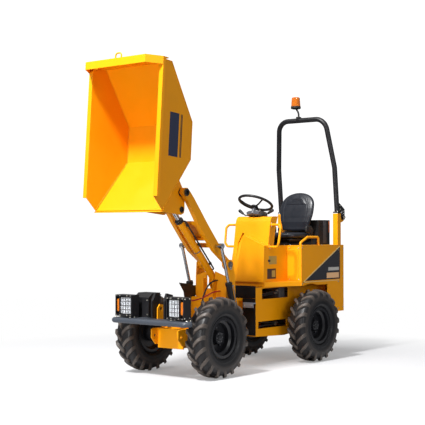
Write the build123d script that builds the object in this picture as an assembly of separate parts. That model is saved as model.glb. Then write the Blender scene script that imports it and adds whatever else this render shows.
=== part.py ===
from build123d import *
import os
from math import atan2, cos, degrees, hypot, pi, radians, sin, sqrt, tan

# High-tip articulated site dumper, one tonne class, in millimetres.
# The machine faces -Y, its left side is +X and +Z is up, with the ground at Z 0.
# It is worked out about the centre steering joint, at Y 0, and write() then sets it
# along Y so that the origin is under the middle of its box. It stands with its
# lift arms up and its skip tipped forward.

os.makedirs("parts", exist_ok=True)

joint_station = 98.0             # how far behind the origin the steering joint stands

# ---- running gear
tyre_radius = 338.0              # to the tips of the lugs
tyre_width = 180.0
tyre_carcass_radius = 317.0
tyre_shoulder_drop = 15.0
lug_count = 19                   # on each side of a tyre
lug_slant = 44.0                 # degrees from straight across
lug_thickness = 24.0
rim_seat_radius = 152.0          # a 12 inch bead seat
rim_flange_radius = 170.0
rim_half_width = 66.0
rim_wall = 5.0
disc_inset = -24.0               # the disc stands this far inboard of the tyre's middle
wheelbase = 1460.0
track = 790.0
hub_radius = 62.0
hub_length = 46.0
hub_bore_radius = 25.0
axle_stub_clearance = 0.05       # radial, a running fit
stud_circle_radius = 82.0
stud_count = 5
axle_tube_half = 45.0
motor_radius = 78.0
wheel_side_gap = 8.0             # between the wheel disc and the fixed motor behind it

# ---- steering joint
king_pin_radius = 22.0
king_pin_clearance = 0.05
knuckle_bottom = 372.0
knuckle_top = 588.0
fork_gap = 1.0                   # above and below the knuckle
fork_plate = 22.0

# ---- front chassis and tower
front_plate_x = 161.0            # inner face of each chassis side plate
front_plate = 12.0
chassis_front_y = -790.0
chassis_bottom = 242.0
chassis_top = 448.0
tower_shelf_z = 640.0           # top of the tower's shelf
nose_y = -875.0
nose_half = 141.0
tower_front_y = -330.0
tower_back_y = -196.0
arm_pivot = (-275.0, 928.0)      # Y and Z of the lift arms' pivot
arm_pin_radius = 20.0
pin_clearance = 0.05

# ---- lift arms
arm_inner_x = 118.0
arm_thickness = 38.0
skip_pin = (-856.0, 1551.0)      # Y and Z of the skip's pin, at the arms' upper end
skip_pin_radius = 22.0

# ---- skip, in its own level frame: U rearwards and W up from its front rim corner
skip_rim_half = 410.0            # to the outside of the rim
skip_rim_width = 36.0
skip_depth = 450.0
skip_side_taper = 20.0           # each side leans in by this much at the floor
skip_wall = 5.0
skip_length = 1100.0
guard_height = 126.0
guard_half = 330.0
guard_flange = 64.0
skip_tip = 86.0
skip_pin_uw = (97.0, -645.0)     # the skip's pin in that frame
tip_eye_uw = (-47.2, -660.5)     # the tip cylinder's eye in that frame
bracket_x = 88.0
bracket_plate = 15.0

# ---- cylinders
lift_ram_x = 222.0
lift_ram_foot = (-262.0, 462.0)
lift_ram_eye = (-460.0, 1095.0)
lift_barrel_radius = 27.0
lift_rod_radius = 14.0
lift_barrel_length = 328.0
tip_barrel_radius = 32.0
tip_rod_radius = 18.0
tip_barrel_length = 735.0
steer_ram_x = -120.0
steer_ram_z = 318.0
steer_ram_foot_y = 170.0
steer_ram_eye_y = -155.0
steer_barrel_radius = 20.0
steer_rod_radius = 10.0
steer_barrel_length = 215.0
rod_clearance = 0.5
eye_gap = 1.0                    # between a rod's eye and the arm beside it

# ---- rear chassis, console and body
frame_half = 200.0               # half width of the rear chassis and of the console
frame_plate = 8.0
frame_front_y = 72.0
body_bottom = 712.0
body_half = 360.0
body_plate = 6.0
body_front_y = 575.0
seam = 0.5                       # between panels that meet
body_back_y = 1322.0
deck_z = 1090.0
skirt_bottom = 440.0
wheel_clear = 52.0               # from the tips of the lugs to the arch
floor_z = 756.0
console_plate = 5.0
cover_start_y = 1240.0

# ---- roll bar
hoop_half = body_half - 26.0
hoop_y = 1245.0
hoop_tube_radius = 25.0
post_half = 30.0
post_top_z = 1398.0
hoop_bend_z = 1850.0
hoop_top_z = 2355.0
hoop_top_half = 272.0
hoop_bend_y = 1200.0
hoop_top_y = 1120.0
fold_pin = (1332.0, 1362.0)      # Y and Z of the roll bar's folding pin


# ---------------------------------------------------------------- helpers
def block(x0, x1, y0, y1, z0, z1):
    """A box from its low and high sides."""
    middle = ((x0 + x1) / 2, (y0 + y1) / 2, (z0 + z1) / 2)
    return Pos(*middle) * Box(x1 - x0, y1 - y0, z1 - z0)


def side_plate(outline, x0, thickness):
    """A plate across X, from its outline of (Y, Z) points, from x0 outwards by thickness."""
    return extrude(Plane.YZ.offset(x0) * make_face(Polyline(*outline, close=True)), thickness)


def cross_plate(outline, y0, thickness):
    """A plate across Y, from its outline of (X, Z) points, from y0 rearwards by thickness."""
    plane = Plane(origin=(0, y0, 0), x_dir=(1, 0, 0), z_dir=(0, -1, 0))
    return extrude(plane * make_face(Polyline(*outline, close=True)), -thickness)


def level_plate(outline, z0, thickness):
    """A plate across Z, from its outline of (X, Y) points, from z0 upwards by thickness."""
    return extrude(Pos(0, 0, z0) * make_face(Polyline(*outline, close=True)), thickness)


def cross_bar(x0, x1, y, z, radius):
    """A round bar along X."""
    return Pos((x0 + x1) / 2, y, z) * Rot(0, 90, 0) * Cylinder(radius, abs(x1 - x0))


def upright(x, y, z0, z1, radius):
    """A round bar along Z."""
    return Pos(x, y, (z0 + z1) / 2) * Cylinder(radius, z1 - z0)


def tube(points, radius, bend):
    """A round bar along straight runs that are joined by bends."""
    path = FilletPolyline(*points, radius=bend)
    section = Plane(origin=path @ 0, z_dir=path % 0) * Circle(radius)
    return sweep(section, path=path)


def both_sides(shape):
    """A shape and its mirror image on the machine's other side."""
    return [shape, mirror(shape, about=Plane.YZ)]


def joined(shapes):
    """One solid from shapes that meet."""
    return shapes[0].fuse(*shapes[1:])


def lathe(outline):
    """A ring about the X axis, from its outline of (x, radius) points."""
    return revolve(Plane.XY * make_face(Polyline(*outline, close=True)), axis=Axis.X)


def facet_ring(outline, sides):
    """A ring about the X axis with flat facets, from its outline of (x, radius) points."""
    step = 2 * pi / sides
    rings = [[(x, r * sin(i * step), r * cos(i * step)) for x, r in outline] for i in range(sides)]
    facets = []
    for i, here in enumerate(rings):
        there = rings[(i + 1) % sides]
        for j in range(len(outline)):
            k = (j + 1) % len(outline)
            facets.append(make_face(Polyline(here[j], here[k], there[k], there[j], close=True)).face())
    return Solid(Shell(facets))


def write(name, shapes):
    """One STEP file for one piece, set along Y at its place in the machine."""
    solids = []
    for shape in shapes if isinstance(shapes, (list, tuple)) else [shapes]:
        solids += shape.solids()
    placed = [Pos(0, joint_station, 0) * s for s in solids]
    whole = placed[0] if len(placed) == 1 else Compound(children=placed)
    export_step(whole, f"parts/{name}.step")


# ---------------------------------------------------------------- wheels
front_axle_y = -wheelbase / 2
rear_axle_y = wheelbase / 2
arch_radius = tyre_radius + wheel_clear
lug_reach = tyre_width / 2 - 4
lug_start = 6.0
lug_side_reach = ((lug_reach / 2 - lug_start) * sin(radians(lug_slant))
                  + lug_thickness / 2 * cos(radians(lug_slant)))
lug_top = sqrt(tyre_radius ** 2 - lug_side_reach ** 2)


def lug():
    """One bar of the tread: it runs from the tyre's middle to its shoulder, on a slant."""
    half = tyre_width / 2
    outline = [(lug_start, 304), (lug_start, lug_top), (lug_reach, lug_top - tyre_shoulder_drop), (half, 276),
               (half - 20, 276)]
    plane = Plane(origin=(0, lug_thickness / 2, 0), x_dir=(1, 0, 0), z_dir=(0, -1, 0))
    bar = extrude(plane * make_face(Polyline(*outline, close=True)), lug_thickness)
    return Pos(lug_reach / 2, 0, 0) * Rot(0, 0, lug_slant) * Pos(-lug_reach / 2, 0, 0) * bar


def tyre():
    """An agricultural tyre on its own axis X, hollow, with a facet for each pair of lugs."""
    half = tyre_width / 2
    pitch = 360.0 / lug_count
    seat = (rim_seat_radius + 0.3) / cos(radians(pitch / 2))
    bead = rim_half_width - rim_wall - 0.3
    flank = [(bead, seat), (bead, rim_flange_radius + 3), (half, 236), (half - 10, 297)]
    shell = facet_ring(flank + [(0, tyre_carcass_radius)] + [(-x, r) for x, r in reversed(flank)], lug_count)
    air = [(44, seat - 20), (44, seat + 10), (half - 16, 236), (half - 26, 282)]
    shell -= facet_ring(air + [(-x, r) for x, r in reversed(air)], 12)
    bar = lug()
    left = [Rot((i + 0.5) * pitch, 0, 0) * bar for i in range(lug_count)]
    right = [Rot(i * pitch, 0, 0) * mirror(bar, about=Plane.YZ) for i in range(lug_count)]
    lowest_tip = pitch / 2 - 180 % pitch + degrees(atan2(lug_side_reach, lug_top))
    return Rot(lowest_tip, 0, 0) * shell.fuse(*left, *right)


def rim():
    """A deep-dished wheel with its hub and nuts, with its open side at +X."""
    s = rim_half_width
    f = rim_flange_radius
    r = rim_seat_radius
    w = rim_wall
    barrel = lathe([(-s, f), (-s, r - w), (-40, r - w), (-28, r - 22 - w), (18, r - 22 - w), (30, r - w),
                    (s, r - w), (s, f), (s - w, f), (s - w, r), (32, r), (20, r - 22), (-30, r - 22), (-42, r),
                    (-s + w, r), (-s + w, f)])
    back = disc_inset - w
    disc = lathe([(back, hub_bore_radius), (back, r - 24), (disc_inset, r - 24), (disc_inset, hub_bore_radius)])
    hub = lathe([(back - 2, hub_bore_radius), (back - 2, hub_radius + 34), (back, hub_radius + 34),
                 (disc_inset, hub_radius), (disc_inset + hub_length, hub_radius - 14), (disc_inset + hub_length, 0),
                 (disc_inset + 6, 0), (disc_inset + 6, hub_bore_radius)])
    nut = Pos(disc_inset + 3, 0, stud_circle_radius) * Rot(0, 90, 0) * extrude(RegularPolygon(12, 6), 6, both=True)
    nuts = [Rot(i * 360.0 / stud_count, 0, 0) * nut for i in range(stud_count)]
    return joined([barrel, disc, hub] + nuts)


# name, side (1 left, -1 right), station along Y
wheel_table = [
    ("front_left", 1, front_axle_y),
    ("front_right", -1, front_axle_y),
    ("rear_left", 1, rear_axle_y),
    ("rear_right", -1, rear_axle_y),
]


def write_wheels():
    """Four tyres and four rims, each on its hub, with their open sides outwards."""
    tyres = both_sides(tyre())
    rims = both_sides(rim())
    for name, side, y in wheel_table:
        place = Pos(side * track / 2, y, tyre_radius)
        which = 0 if side > 0 else 1
        write(f"tyre_{name}", place * tyres[which])
        write(f"rim_{name}", place * rims[which])


def axle(y):
    """An axle beam with a drive motor at each end and a stub in each hub."""
    disc_back = track / 2 + disc_inset - rim_wall - 2
    motor_end = disc_back - wheel_side_gap
    beam = block(-motor_end + 20, motor_end - 20, y - axle_tube_half, y + axle_tube_half,
                 tyre_radius - axle_tube_half, tyre_radius + axle_tube_half)
    motor = cross_bar(motor_end - 62, motor_end, y, tyre_radius, motor_radius)
    stub = cross_bar(motor_end - 5, disc_back + 7, y, tyre_radius, hub_bore_radius - axle_stub_clearance)
    return joined([beam] + both_sides(motor) + both_sides(stub))


# ---------------------------------------------------------------- front chassis
def tower_side():
    """One side plate: chassis rail and tower in one, with the pivot of its lift arm."""
    y, z = arm_pivot
    outline = [(chassis_front_y, chassis_bottom + 58), (chassis_front_y + 50, chassis_bottom), (-560, chassis_bottom),
               (-240, chassis_bottom + 60), (tower_back_y, 400), (tower_back_y, 800), (y + 50, z - 24),
               (y + 46, z + 16), (y + 20, z + 44), (y - 20, z + 44), (y - 46, z + 18), (y - 50, z - 40),
               (tower_front_y, 812), (tower_front_y, tower_shelf_z), (-398, tower_shelf_z), (-398, chassis_top),
               (chassis_front_y, chassis_top)]
    plate = side_plate(outline, front_plate_x, front_plate)
    return plate - cross_bar(front_plate_x - 5, front_plate_x + front_plate + 5, y, z, arm_pin_radius + pin_clearance)


def tower_face():
    """The tower's front: the sloping face with its slot for the tip cylinder, ribs, shelf and lower face."""
    w = front_plate_x
    slot = tip_barrel_radius + 14
    low, top = tower_shelf_z - 12, tower_shelf_z + 228
    half_face = cross_plate([(slot, low), (w, low), (w, top - 38), (slot + 4, top), (slot, top)], tower_front_y, 10)
    sill = cross_plate([(-slot, low), (slot, low), (slot, low + 88), (-slot, low + 88)], tower_front_y, 10)
    rib = block(slot + 6, slot + 14, -372, tower_front_y, tower_shelf_z, top - 62)
    shelf = block(-w, w, -398, tower_front_y + 10, low, tower_shelf_z)
    lower = block(-w, w, -398, -388, chassis_top, low)
    return both_sides(half_face) + [sill] + both_sides(rib) + [shelf, lower]


def nose():
    """The nose: its face between two tie-down lugs, ahead of the chassis' front cross plate."""
    lug_plate = side_plate([(chassis_front_y, 262), (-900, 262), (-952, 320), (-952, 392), (-930, 400),
                            (chassis_front_y, 400)], nose_half, front_plate)
    lug_plate -= cross_bar(nose_half - 5, nose_half + front_plate + 5, -911, 338, 13)
    face = cross_plate([(-nose_half, 232), (nose_half, 232), (nose_half, 396), (-nose_half, 396)], nose_y, 12)
    floor = block(-nose_half, nose_half, nose_y, chassis_front_y, 242, 254)
    lid = block(-nose_half, nose_half, nose_y, chassis_front_y, 384, 396)
    chin = block(-front_plate_x - front_plate, front_plate_x + front_plate, chassis_front_y, chassis_front_y + 12,
                 chassis_bottom + 58, chassis_top)
    return both_sides(lug_plate) + [face, floor, lid, chin]


def steering_neck():
    """The neck behind the tower, the knuckle at its end and the lugs of the steering cylinder's rod."""
    neck = level_plate([(-70, tower_back_y - 4), (70, tower_back_y - 4), (70, -150), (43, -50), (43, 0), (-43, 0),
                        (-43, -50), (-70, -150)], knuckle_bottom + 10, knuckle_top - knuckle_bottom - 20)
    knuckle = upright(0, 0, knuckle_bottom, knuckle_top, 46)
    lug_half = 34
    x = steer_ram_x
    lugs = [block(x - lug_half, x + lug_half, tower_back_y - 4, steer_ram_eye_y + 20, z, z + 10) for z in (284, 342)]
    return [neck, knuckle] + lugs


def front_frame():
    """The front chassis: side plates, cross plates, tower, nose and steering neck, in one welded piece."""
    w = front_plate_x
    deck_plate = block(-w, w, chassis_front_y, -388, chassis_top - 10, chassis_top)
    back = block(-w, w, tower_back_y - 12, tower_back_y, chassis_bottom + 60, 640)
    floor = block(-w, w, -560, tower_back_y, chassis_bottom + 60, chassis_bottom + 72)
    shapes = both_sides(tower_side()) + tower_face() + nose() + steering_neck() + [deck_plate, back, floor]
    whole = joined(shapes)
    whole -= upright(0, 0, knuckle_bottom - 10, knuckle_top + 10, king_pin_radius + king_pin_clearance)
    return whole - axle(front_axle_y)


def front_pins():
    """The pins of the lift arms and the feet of the lift and tip cylinders."""
    y, z = arm_pivot
    outer = front_plate_x + front_plate
    arm_pin = cross_bar(arm_inner_x - 6, outer + 9, y, z, arm_pin_radius)
    arm_head = cross_bar(outer, outer + 9, y, z, arm_pin_radius + 9)
    foot = cross_bar(outer, lift_ram_x + 28, *lift_ram_foot, 14)
    foot_collar = cross_bar(lift_ram_x + 19, lift_ram_x + 28, *lift_ram_foot, 18)
    return both_sides(arm_pin + arm_head) + both_sides(foot + foot_collar)


def tip_ram_mount():
    """The bracket inside the tower that carries the foot of the tip cylinder."""
    y, z = tip_ram_foot
    ear = side_plate([(tower_back_y - 12, z - 110), (tower_back_y - 12, z - 20), (y + 26, z + 26), (y - 26, z + 26),
                      (y - 30, z - 26), (y + 20, z - 110)], 36, 12)
    pin = cross_bar(-48, 48, y, z, 16)
    back = block(-90, 90, tower_back_y - 12, tower_back_y, 640.3, 780)
    return joined(both_sides(ear) + [pin, back])


# ---------------------------------------------------------------- bumper and lamps
bumper_y = -1150.0
bumper_z = 472.0
bumper_radius = 23.0
bumper_half = 412.0
lamp_middle_x = 286.0
lamp_width = 188.0
lamp_height = 180.0
lamp_depth = 92.0
lamp_bottom = 508.0
shelf_z = bumper_z + 16
ear_plate = 11.0


def bumper():
    """The bumper tube with its rounded ends, its two stays to the chassis and the shelf of the lamps."""
    bar = tube([(-bumper_half, bumper_y + 46, bumper_z), (-bumper_half + 6, bumper_y, bumper_z),
                (bumper_half - 6, bumper_y, bumper_z), (bumper_half, bumper_y + 46, bumper_z)], bumper_radius, 38)
    stay = block(60, 100, bumper_y, -700, chassis_top, chassis_top + 18)
    tie = block(-60, 60, -1050, -890, chassis_top, chassis_top + 18)
    shelf = block(-396, 396, bumper_y + 8, bumper_y + 92, shelf_z, shelf_z + 8)
    bracket = block(-292, -112, bumper_y + 92, -862, shelf_z, shelf_z + 8)
    link = block(-112, -60, -930, -880, chassis_top, shelf_z + 8)
    return joined([bar] + both_sides(stay) + [tie, shelf, bracket, link])


def lamp():
    """The left head lamp in its guard frame, with a dividing bar beside its turn lamp."""
    x0 = lamp_middle_x - lamp_width / 2
    x1 = lamp_middle_x + lamp_width / 2
    y1 = bumper_y + lamp_depth
    top = lamp_bottom + lamp_height
    case = block(x0, x1, bumper_y, y1, lamp_bottom, top)
    case -= block(x0 + 8, x1 - 8, bumper_y - 1, y1 - 12, lamp_bottom + 14, top - 14)
    lens = block(x0 + 34, x1 - 58, bumper_y + 16, y1 - 12, lamp_bottom + 30, top - 30)
    rail = block(x1 - 52, x1 - 44, bumper_y, y1 - 12, lamp_bottom + 14, top - 14)
    foot = block(lamp_middle_x - 40, lamp_middle_x + 40, y1 - 40, y1 - 4, shelf_z + 8, lamp_bottom)
    return joined([case, lens, rail, foot])


def turn_lamp():
    """The amber turn lamp in the outboard end of the left guard frame."""
    x = lamp_middle_x + lamp_width / 2 - 26
    return block(x - 15, x + 15, bumper_y + 10, bumper_y + lamp_depth - 12, lamp_bottom + 36,
                 lamp_bottom + lamp_height - 36)


def front_cover():
    """The black cover behind the right lamp, with its sloping lid."""
    low = block(-290, -125, -1012, -864, shelf_z + 8, 622)
    lid = side_plate([(-1012, 622), (-864, 622), (-864, 700), (-960, 700), (-1012, 664)], -290, 165)
    return low + lid


def skip_rests():
    """The two sloped rests behind the bumper that the skip comes down between."""
    rest = side_plate([(-1036, chassis_top + 18), (-940, chassis_top + 18), (-930, 690), (-1000, 706), (-1036, 640)],
                      62, 14)
    pad = side_plate([(-1036, 640), (-1000, 706), (-930, 690), (-930, 684), (-996, 699), (-1030, 636)], 54, 8)
    return both_sides(rest + pad)


def front_ear():
    """The tie-down ear on the cross tie behind the bumper, beside the lowered tip cylinder."""
    x0 = -tip_barrel_radius - 10 - ear_plate
    outline = [(-990, chassis_top + 18), (-896, chassis_top + 18), (-896, 520), (-920, 604), (-960, 609),
               (-986, 580)]
    ear = side_plate(outline, x0, ear_plate)
    return ear - cross_bar(x0 - 4, x0 + ear_plate + 4, -946, 570, 15)


def hose_guard():
    """The black guard over the hoses on the right of the tower."""
    x = -front_plate_x - front_plate
    outline = [(-560, 772), (-392, 752), (-392, 640), (-400, 610), (-480, 610), (-496, 690)]
    wing = side_plate(outline, x - 4, 4)
    tab = block(x - 4, x, -396, tower_front_y + 20, 650, 740)
    return wing + tab


# ---------------------------------------------------------------- lift arms
def arm_plate():
    """The left lift arm: a slightly bowed beam from the tower to the skip's pin."""
    py, pz = arm_pivot
    sy, sz = skip_pin
    outline = [(py + 40, pz - 12), (py + 34, pz + 26), (-318, 1012), (-424, 1128), (-563, 1284), (-742, 1498),
               (-790, 1550), (sy + 20, sz + 40), (sy - 22, sz + 38), (sy - 44, sz), (-826, 1474),
               (-698, 1300), (-566, 1150), (-470, 1050), (py - 48, 950), (py - 44, pz - 10), (py - 18, pz - 40),
               (py + 18, pz - 40)]
    arm = side_plate(outline, arm_inner_x, arm_thickness)
    ends = ((py, pz, arm_pin_radius), (sy, sz, skip_pin_radius))
    for y, z, radius in ends:
        arm -= cross_bar(arm_inner_x - 10, arm_inner_x + arm_thickness + 10, y, z, radius + pin_clearance)
    return arm


def lift_arms():
    """Both arms with the cross box and the cross bar that join them above the tip cylinder."""
    box = side_plate([(-655, 1308), (-604, 1312), (-478, 1174), (-508, 1142), (-540, 1146), (-512, 1172),
                      (-606, 1278), (-640, 1276)], -arm_inner_x, 2 * arm_inner_x)
    bar = side_plate([(-454, 1116), (-420, 1122), (-404, 1092), (-440, 1080)], -arm_inner_x, 2 * arm_inner_x)
    return joined(both_sides(arm_plate()) + [box, bar])


def skip_shaft():
    """The shaft through the arms' upper ends, with a collar at each end."""
    y, z = skip_pin
    outer = arm_inner_x + arm_thickness
    shaft = cross_bar(-outer - 12, outer + 12, y, z, skip_pin_radius)
    collar = cross_bar(outer + 1, outer + 12, y, z, skip_pin_radius + 10)
    return joined([shaft] + both_sides(collar))


# ---------------------------------------------------------------- skip
lip_point = (-102.0, -116.0)
floor_front_u = 341.0
floor_rear_u = 651.0
rear_fold_w = -150.0


def skip_form(inset, above):
    """The skip's filled form with every wall moved inwards by inset, and carried above the rim by above."""
    run = floor_front_u - lip_point[0]
    drop = skip_depth + lip_point[1]
    front_shift = inset * hypot(run, drop) / drop
    rear_run = skip_length - 5 - floor_rear_u
    rear_drop = skip_depth + rear_fold_w
    rear_shift = inset * hypot(rear_run, rear_drop) / rear_drop
    back = skip_length - 5 - inset
    floor_w = -skip_depth + inset
    front_u = floor_front_u - inset * run / drop + front_shift
    rear_u = floor_rear_u + inset * rear_run / rear_drop - rear_shift
    fold_w = rear_fold_w + (rear_shift - inset) * rear_drop / rear_run
    if above > 0:
        reach = 60.0
        mouth = [(lip_point[0] + front_shift - reach, lip_point[1] + reach * drop / run),
                 (lip_point[0] + front_shift - reach, above)]
    else:
        mouth = [lip_point, (0, 0)]
    outline = mouth + [(back, above), (back, fold_w), (rear_u, floor_w), (front_u, floor_w)]
    lengthwise = side_plate(outline, -600, 1200)
    half = skip_rim_half - skip_rim_width - inset
    flare = above / skip_depth * skip_side_taper
    section = [(-half - flare, above), (-half + skip_side_taper, -skip_depth), (half - skip_side_taper, -skip_depth),
               (half + flare, above)]
    return lengthwise & cross_plate(section, -400, 2000)


def skip():
    """The load skip: folded plate walls, an outward rim, a lip, and a raised guard along its rear wall."""
    shell = skip_form(0, 0) - skip_form(skip_wall, 200)
    half = skip_rim_half
    inner = half - skip_rim_width
    rim_top = block(inner - skip_wall, half, 0, skip_length, -skip_wall, 0)
    rim_edge = block(half - skip_wall, half, 0, skip_length, -30, 0)
    rear_edge = block(-half, half, skip_length - skip_wall, skip_length + 3, -60, 0)
    wall = cross_plate([(-half, -skip_wall), (-guard_half, guard_height), (guard_half, guard_height),
                        (half, -skip_wall)], skip_length - skip_wall, skip_wall + 3)
    t = skip_wall
    band = [(-half, 0), (-guard_half, guard_height), (guard_half, guard_height), (half, 0), (half - 1.3 * t, 0),
            (guard_half - 0.6 * t, guard_height - t), (-guard_half + 0.6 * t, guard_height - t), (-half + 1.3 * t, 0)]
    flange = cross_plate(band, skip_length + 3 - guard_flange, guard_flange)
    lip = side_plate([(-114, -108), (-100, -122), (-88, -124), (-100, -140), (-114, -132)], -inner - 6, 2 * inner + 12)
    corner = cross_plate([(-inner, -6), (-inner + 58, -6), (-inner, -30)], skip_length - 34, 30)
    back = skip_length + 3
    eye = tube([(-32, back, 84), (-32, back + 50, 84), (32, back + 50, 84), (32, back, 84)], 6.5, 24)
    shapes = [shell] + both_sides(rim_top) + both_sides(rim_edge) + [rear_edge, wall, flange, lip, eye]
    return joined(shapes + both_sides(corner))


def skip_bracket():
    """Two plates under the front slope that carry the skip on its pin and the eye of the tip cylinder."""
    pu, pw = skip_pin_uw
    eu, ew = tip_eye_uw
    slope = (skip_depth + lip_point[1]) / (floor_front_u - lip_point[0])
    top_w = lip_point[1] - seam * 1.4

    def on_slope(u):
        return u, top_w - (u - lip_point[0]) * slope

    outline = [on_slope(-40), on_slope(floor_front_u - 6), (250, -575), (pu + 44, pw - 12), (pu + 22, pw - 42),
               (pu - 20, pw - 46), (eu + 10, ew - 38), (eu - 26, ew - 32), (eu - 44, ew), (-84, -400)]
    plate = side_plate(outline, bracket_x, bracket_plate)
    plate -= cross_bar(bracket_x - 5, bracket_x + bracket_plate + 5, pu, pw, skip_pin_radius + pin_clearance)
    tie = side_plate([on_slope(-38), on_slope(-24), (-58, -330), (-72, -330)], -bracket_x, 2 * bracket_x)
    return joined(both_sides(plate) + [tie])


def tipped(shape):
    """Set a piece of the skip, drawn level, at its tipped place on the arms' pin."""
    pu, pw = skip_pin_uw
    y, z = skip_pin
    return Pos(0, y, z) * Rot(skip_tip, 0, 0) * Pos(0, -pu, -pw) * shape


def tipped_point(u, w):
    """The Y and Z of a point of the skip when it is tipped."""
    du = u - skip_pin_uw[0]
    dw = w - skip_pin_uw[1]
    a = radians(skip_tip)
    return skip_pin[0] + du * cos(a) - dw * sin(a), skip_pin[1] + du * sin(a) + dw * cos(a)


# ---------------------------------------------------------------- cylinders
def along(foot, eye, shape, x=0.0):
    """Set a shape, drawn along +Z from a foot at the origin, on the line from foot to eye."""
    lean = degrees(atan2(foot[0] - eye[0], eye[1] - foot[1]))
    return Pos(x, foot[0], foot[1]) * Rot(lean, 0, 0) * shape


def ram_barrel(radius, length, rod_radius, pin_radius, eye_radius, eye_half):
    """A cylinder barrel with its foot eye, drawn along +Z."""
    body = Pos(0, 0, (length + eye_radius * 0.7) / 2) * Cylinder(radius, length - eye_radius * 0.7)
    gland = Pos(0, 0, length - 12) * Cylinder(radius + 3, 24)
    eye = Rot(0, 90, 0) * Cylinder(eye_radius, 2 * eye_half)
    whole = joined([body, gland, eye])
    whole -= Rot(0, 90, 0) * Cylinder(pin_radius + pin_clearance, 4 * eye_half)
    bottom = eye_radius + 12
    return whole - Pos(0, 0, (length + bottom) / 2 + 10) * Cylinder(rod_radius + rod_clearance, length - bottom + 20)


def ram_rod(radius, start, end, eye_radius, eye_half, pin_radius, pin_from, pin_to):
    """A cylinder rod from inside its barrel to its eye with its pin, drawn along +Z."""
    body = Pos(0, 0, (start + end) / 2) * Cylinder(radius, end - start)
    eye = Pos(0, 0, end) * Rot(0, 90, 0) * Cylinder(eye_radius, 2 * eye_half)
    pin = Pos((pin_from + pin_to) / 2, 0, end) * Rot(0, 90, 0) * Cylinder(pin_radius, pin_to - pin_from)
    return joined([body, eye, pin])


lift_ram_length = hypot(lift_ram_eye[0] - lift_ram_foot[0], lift_ram_eye[1] - lift_ram_foot[1])
tip_ram_eye = tipped_point(*tip_eye_uw)
# The tip cylinder's foot is as far from the arms' pivot as its eye is from the skip's
# pin, so that the cylinder stays level with the arms and keeps the skip level.
tip_ram_foot = (arm_pivot[0] + tip_ram_eye[0] - skip_pin[0], arm_pivot[1] + tip_ram_eye[1] - skip_pin[1])
tip_ram_length = hypot(tip_ram_eye[0] - tip_ram_foot[0], tip_ram_eye[1] - tip_ram_foot[1])
steer_ram_length = steer_ram_foot_y - steer_ram_eye_y


def write_rams():
    """The two lift cylinders outside the arms, the tip cylinder between them and the steering cylinder."""
    barrel = ram_barrel(lift_barrel_radius, lift_barrel_length, lift_rod_radius, 14, 28, 18)
    arm_face = arm_inner_x + arm_thickness
    rod = ram_rod(lift_rod_radius, lift_barrel_length - 62, lift_ram_length, 24, 18, 13,
                  arm_face + eye_gap - lift_ram_x, 26)
    placed_barrels = both_sides(along(lift_ram_foot, lift_ram_eye, barrel, lift_ram_x))
    placed_rods = both_sides(along(lift_ram_foot, lift_ram_eye, rod, lift_ram_x))
    for i, side in enumerate(("left", "right")):
        write(f"lift_ram_barrel_{side}", placed_barrels[i])
        write(f"lift_ram_rod_{side}", placed_rods[i])
    barrel = ram_barrel(tip_barrel_radius, tip_barrel_length, tip_rod_radius, 16, 32, 26)
    rod = ram_rod(tip_rod_radius, tip_barrel_length - 255, tip_ram_length, 28, 24, 15, -bracket_x + eye_gap,
                  bracket_x - eye_gap)
    write("tip_ram_barrel", along(tip_ram_foot, tip_ram_eye, barrel))
    write("tip_ram_rod", along(tip_ram_foot, tip_ram_eye, rod))
    write("tip_hose", along(tip_ram_foot, tip_ram_eye, tip_hose()))
    level = Pos(steer_ram_x, steer_ram_foot_y, steer_ram_z) * Rot(90, 0, 0) * Rot(0, 0, 90)
    barrel = ram_barrel(steer_barrel_radius, steer_barrel_length, steer_rod_radius, 9, 18, 16)
    rod = ram_rod(steer_rod_radius, steer_barrel_length - 82, steer_ram_length, 17, 15, 9, -22.5, 22.5)
    write("steer_ram_barrel", level * barrel)
    write("steer_ram_rod", level * rod)


# ---------------------------------------------------------------- hoses
hose_radius = 7.0
lamp_hose_radius = 6.0
bend_share = 0.45                # a bend's tangent, as a share of the shorter run beside it


def bend_radius(before, corner, after):
    """The arc radius that takes a fixed share of the shorter run at a corner."""
    a = Vector(*before) - Vector(*corner)
    b = Vector(*after) - Vector(*corner)
    half_turn = radians(180 - a.get_angle(b)) / 2
    return bend_share * min(a.length, b.length) / tan(half_turn)


def hose(name, points, radius):
    """A free hose: straight runs with tangent arcs, along its route of points."""
    radii = [bend_radius(*points[i:i + 3]) for i in range(len(points) - 2)]
    print(name, "bend radii", [round(r) for r in radii])
    path = FilletPolyline(*points, radius=radii)
    return sweep(Plane(origin=path @ 0, z_dir=path % 0) * Circle(radius), path=path)


def tower_hose():
    """The black hose from the tower's face down into the front chassis."""
    face = tower_front_y - 0.3
    route = [(76, face, 790), (76, -392, 790), (69, -468, 742), (64, -522, 640), (61, -548, 540),
             (61, -548, chassis_top + 0.3)]
    return hose("tower_hose", route, hose_radius)


def lamp_hose():
    """The red sleeved hose from the back of the left head lamp to the tower's face."""
    start = bumper_y + lamp_depth + 0.3
    route = [(250, start, 600), (250, start + 58, 600), (196, -900, 640), (128, -720, 634), (108, -560, 650),
             (106, -425, 697), (106, tower_front_y - 0.3, 697)]
    return hose("lamp_hose", route, lamp_hose_radius)


def tip_hose():
    """The hose that is clipped along the tip cylinder's barrel, from port to port."""
    across, over = 0.8, 0.6
    port = tip_barrel_radius + 0.3
    run = tip_barrel_radius + hose_radius + 7
    top, foot = tip_barrel_length - 36, 120
    pipe = tube([(port * across, port * over, top), (run * across, run * over, top),
                 (run * across, run * over, foot), (port * across, port * over, foot)], hose_radius, 12)
    lean = degrees(atan2(over, across))
    clamp = Rot(0, 0, lean) * block(port, run + hose_radius + 2, -9, 9, -8, 8)
    first, last = foot + 70, top - 49
    return joined([pipe] + [Pos(0, 0, z) * clamp for z in (first, (first + last) / 2, last)])


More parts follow.
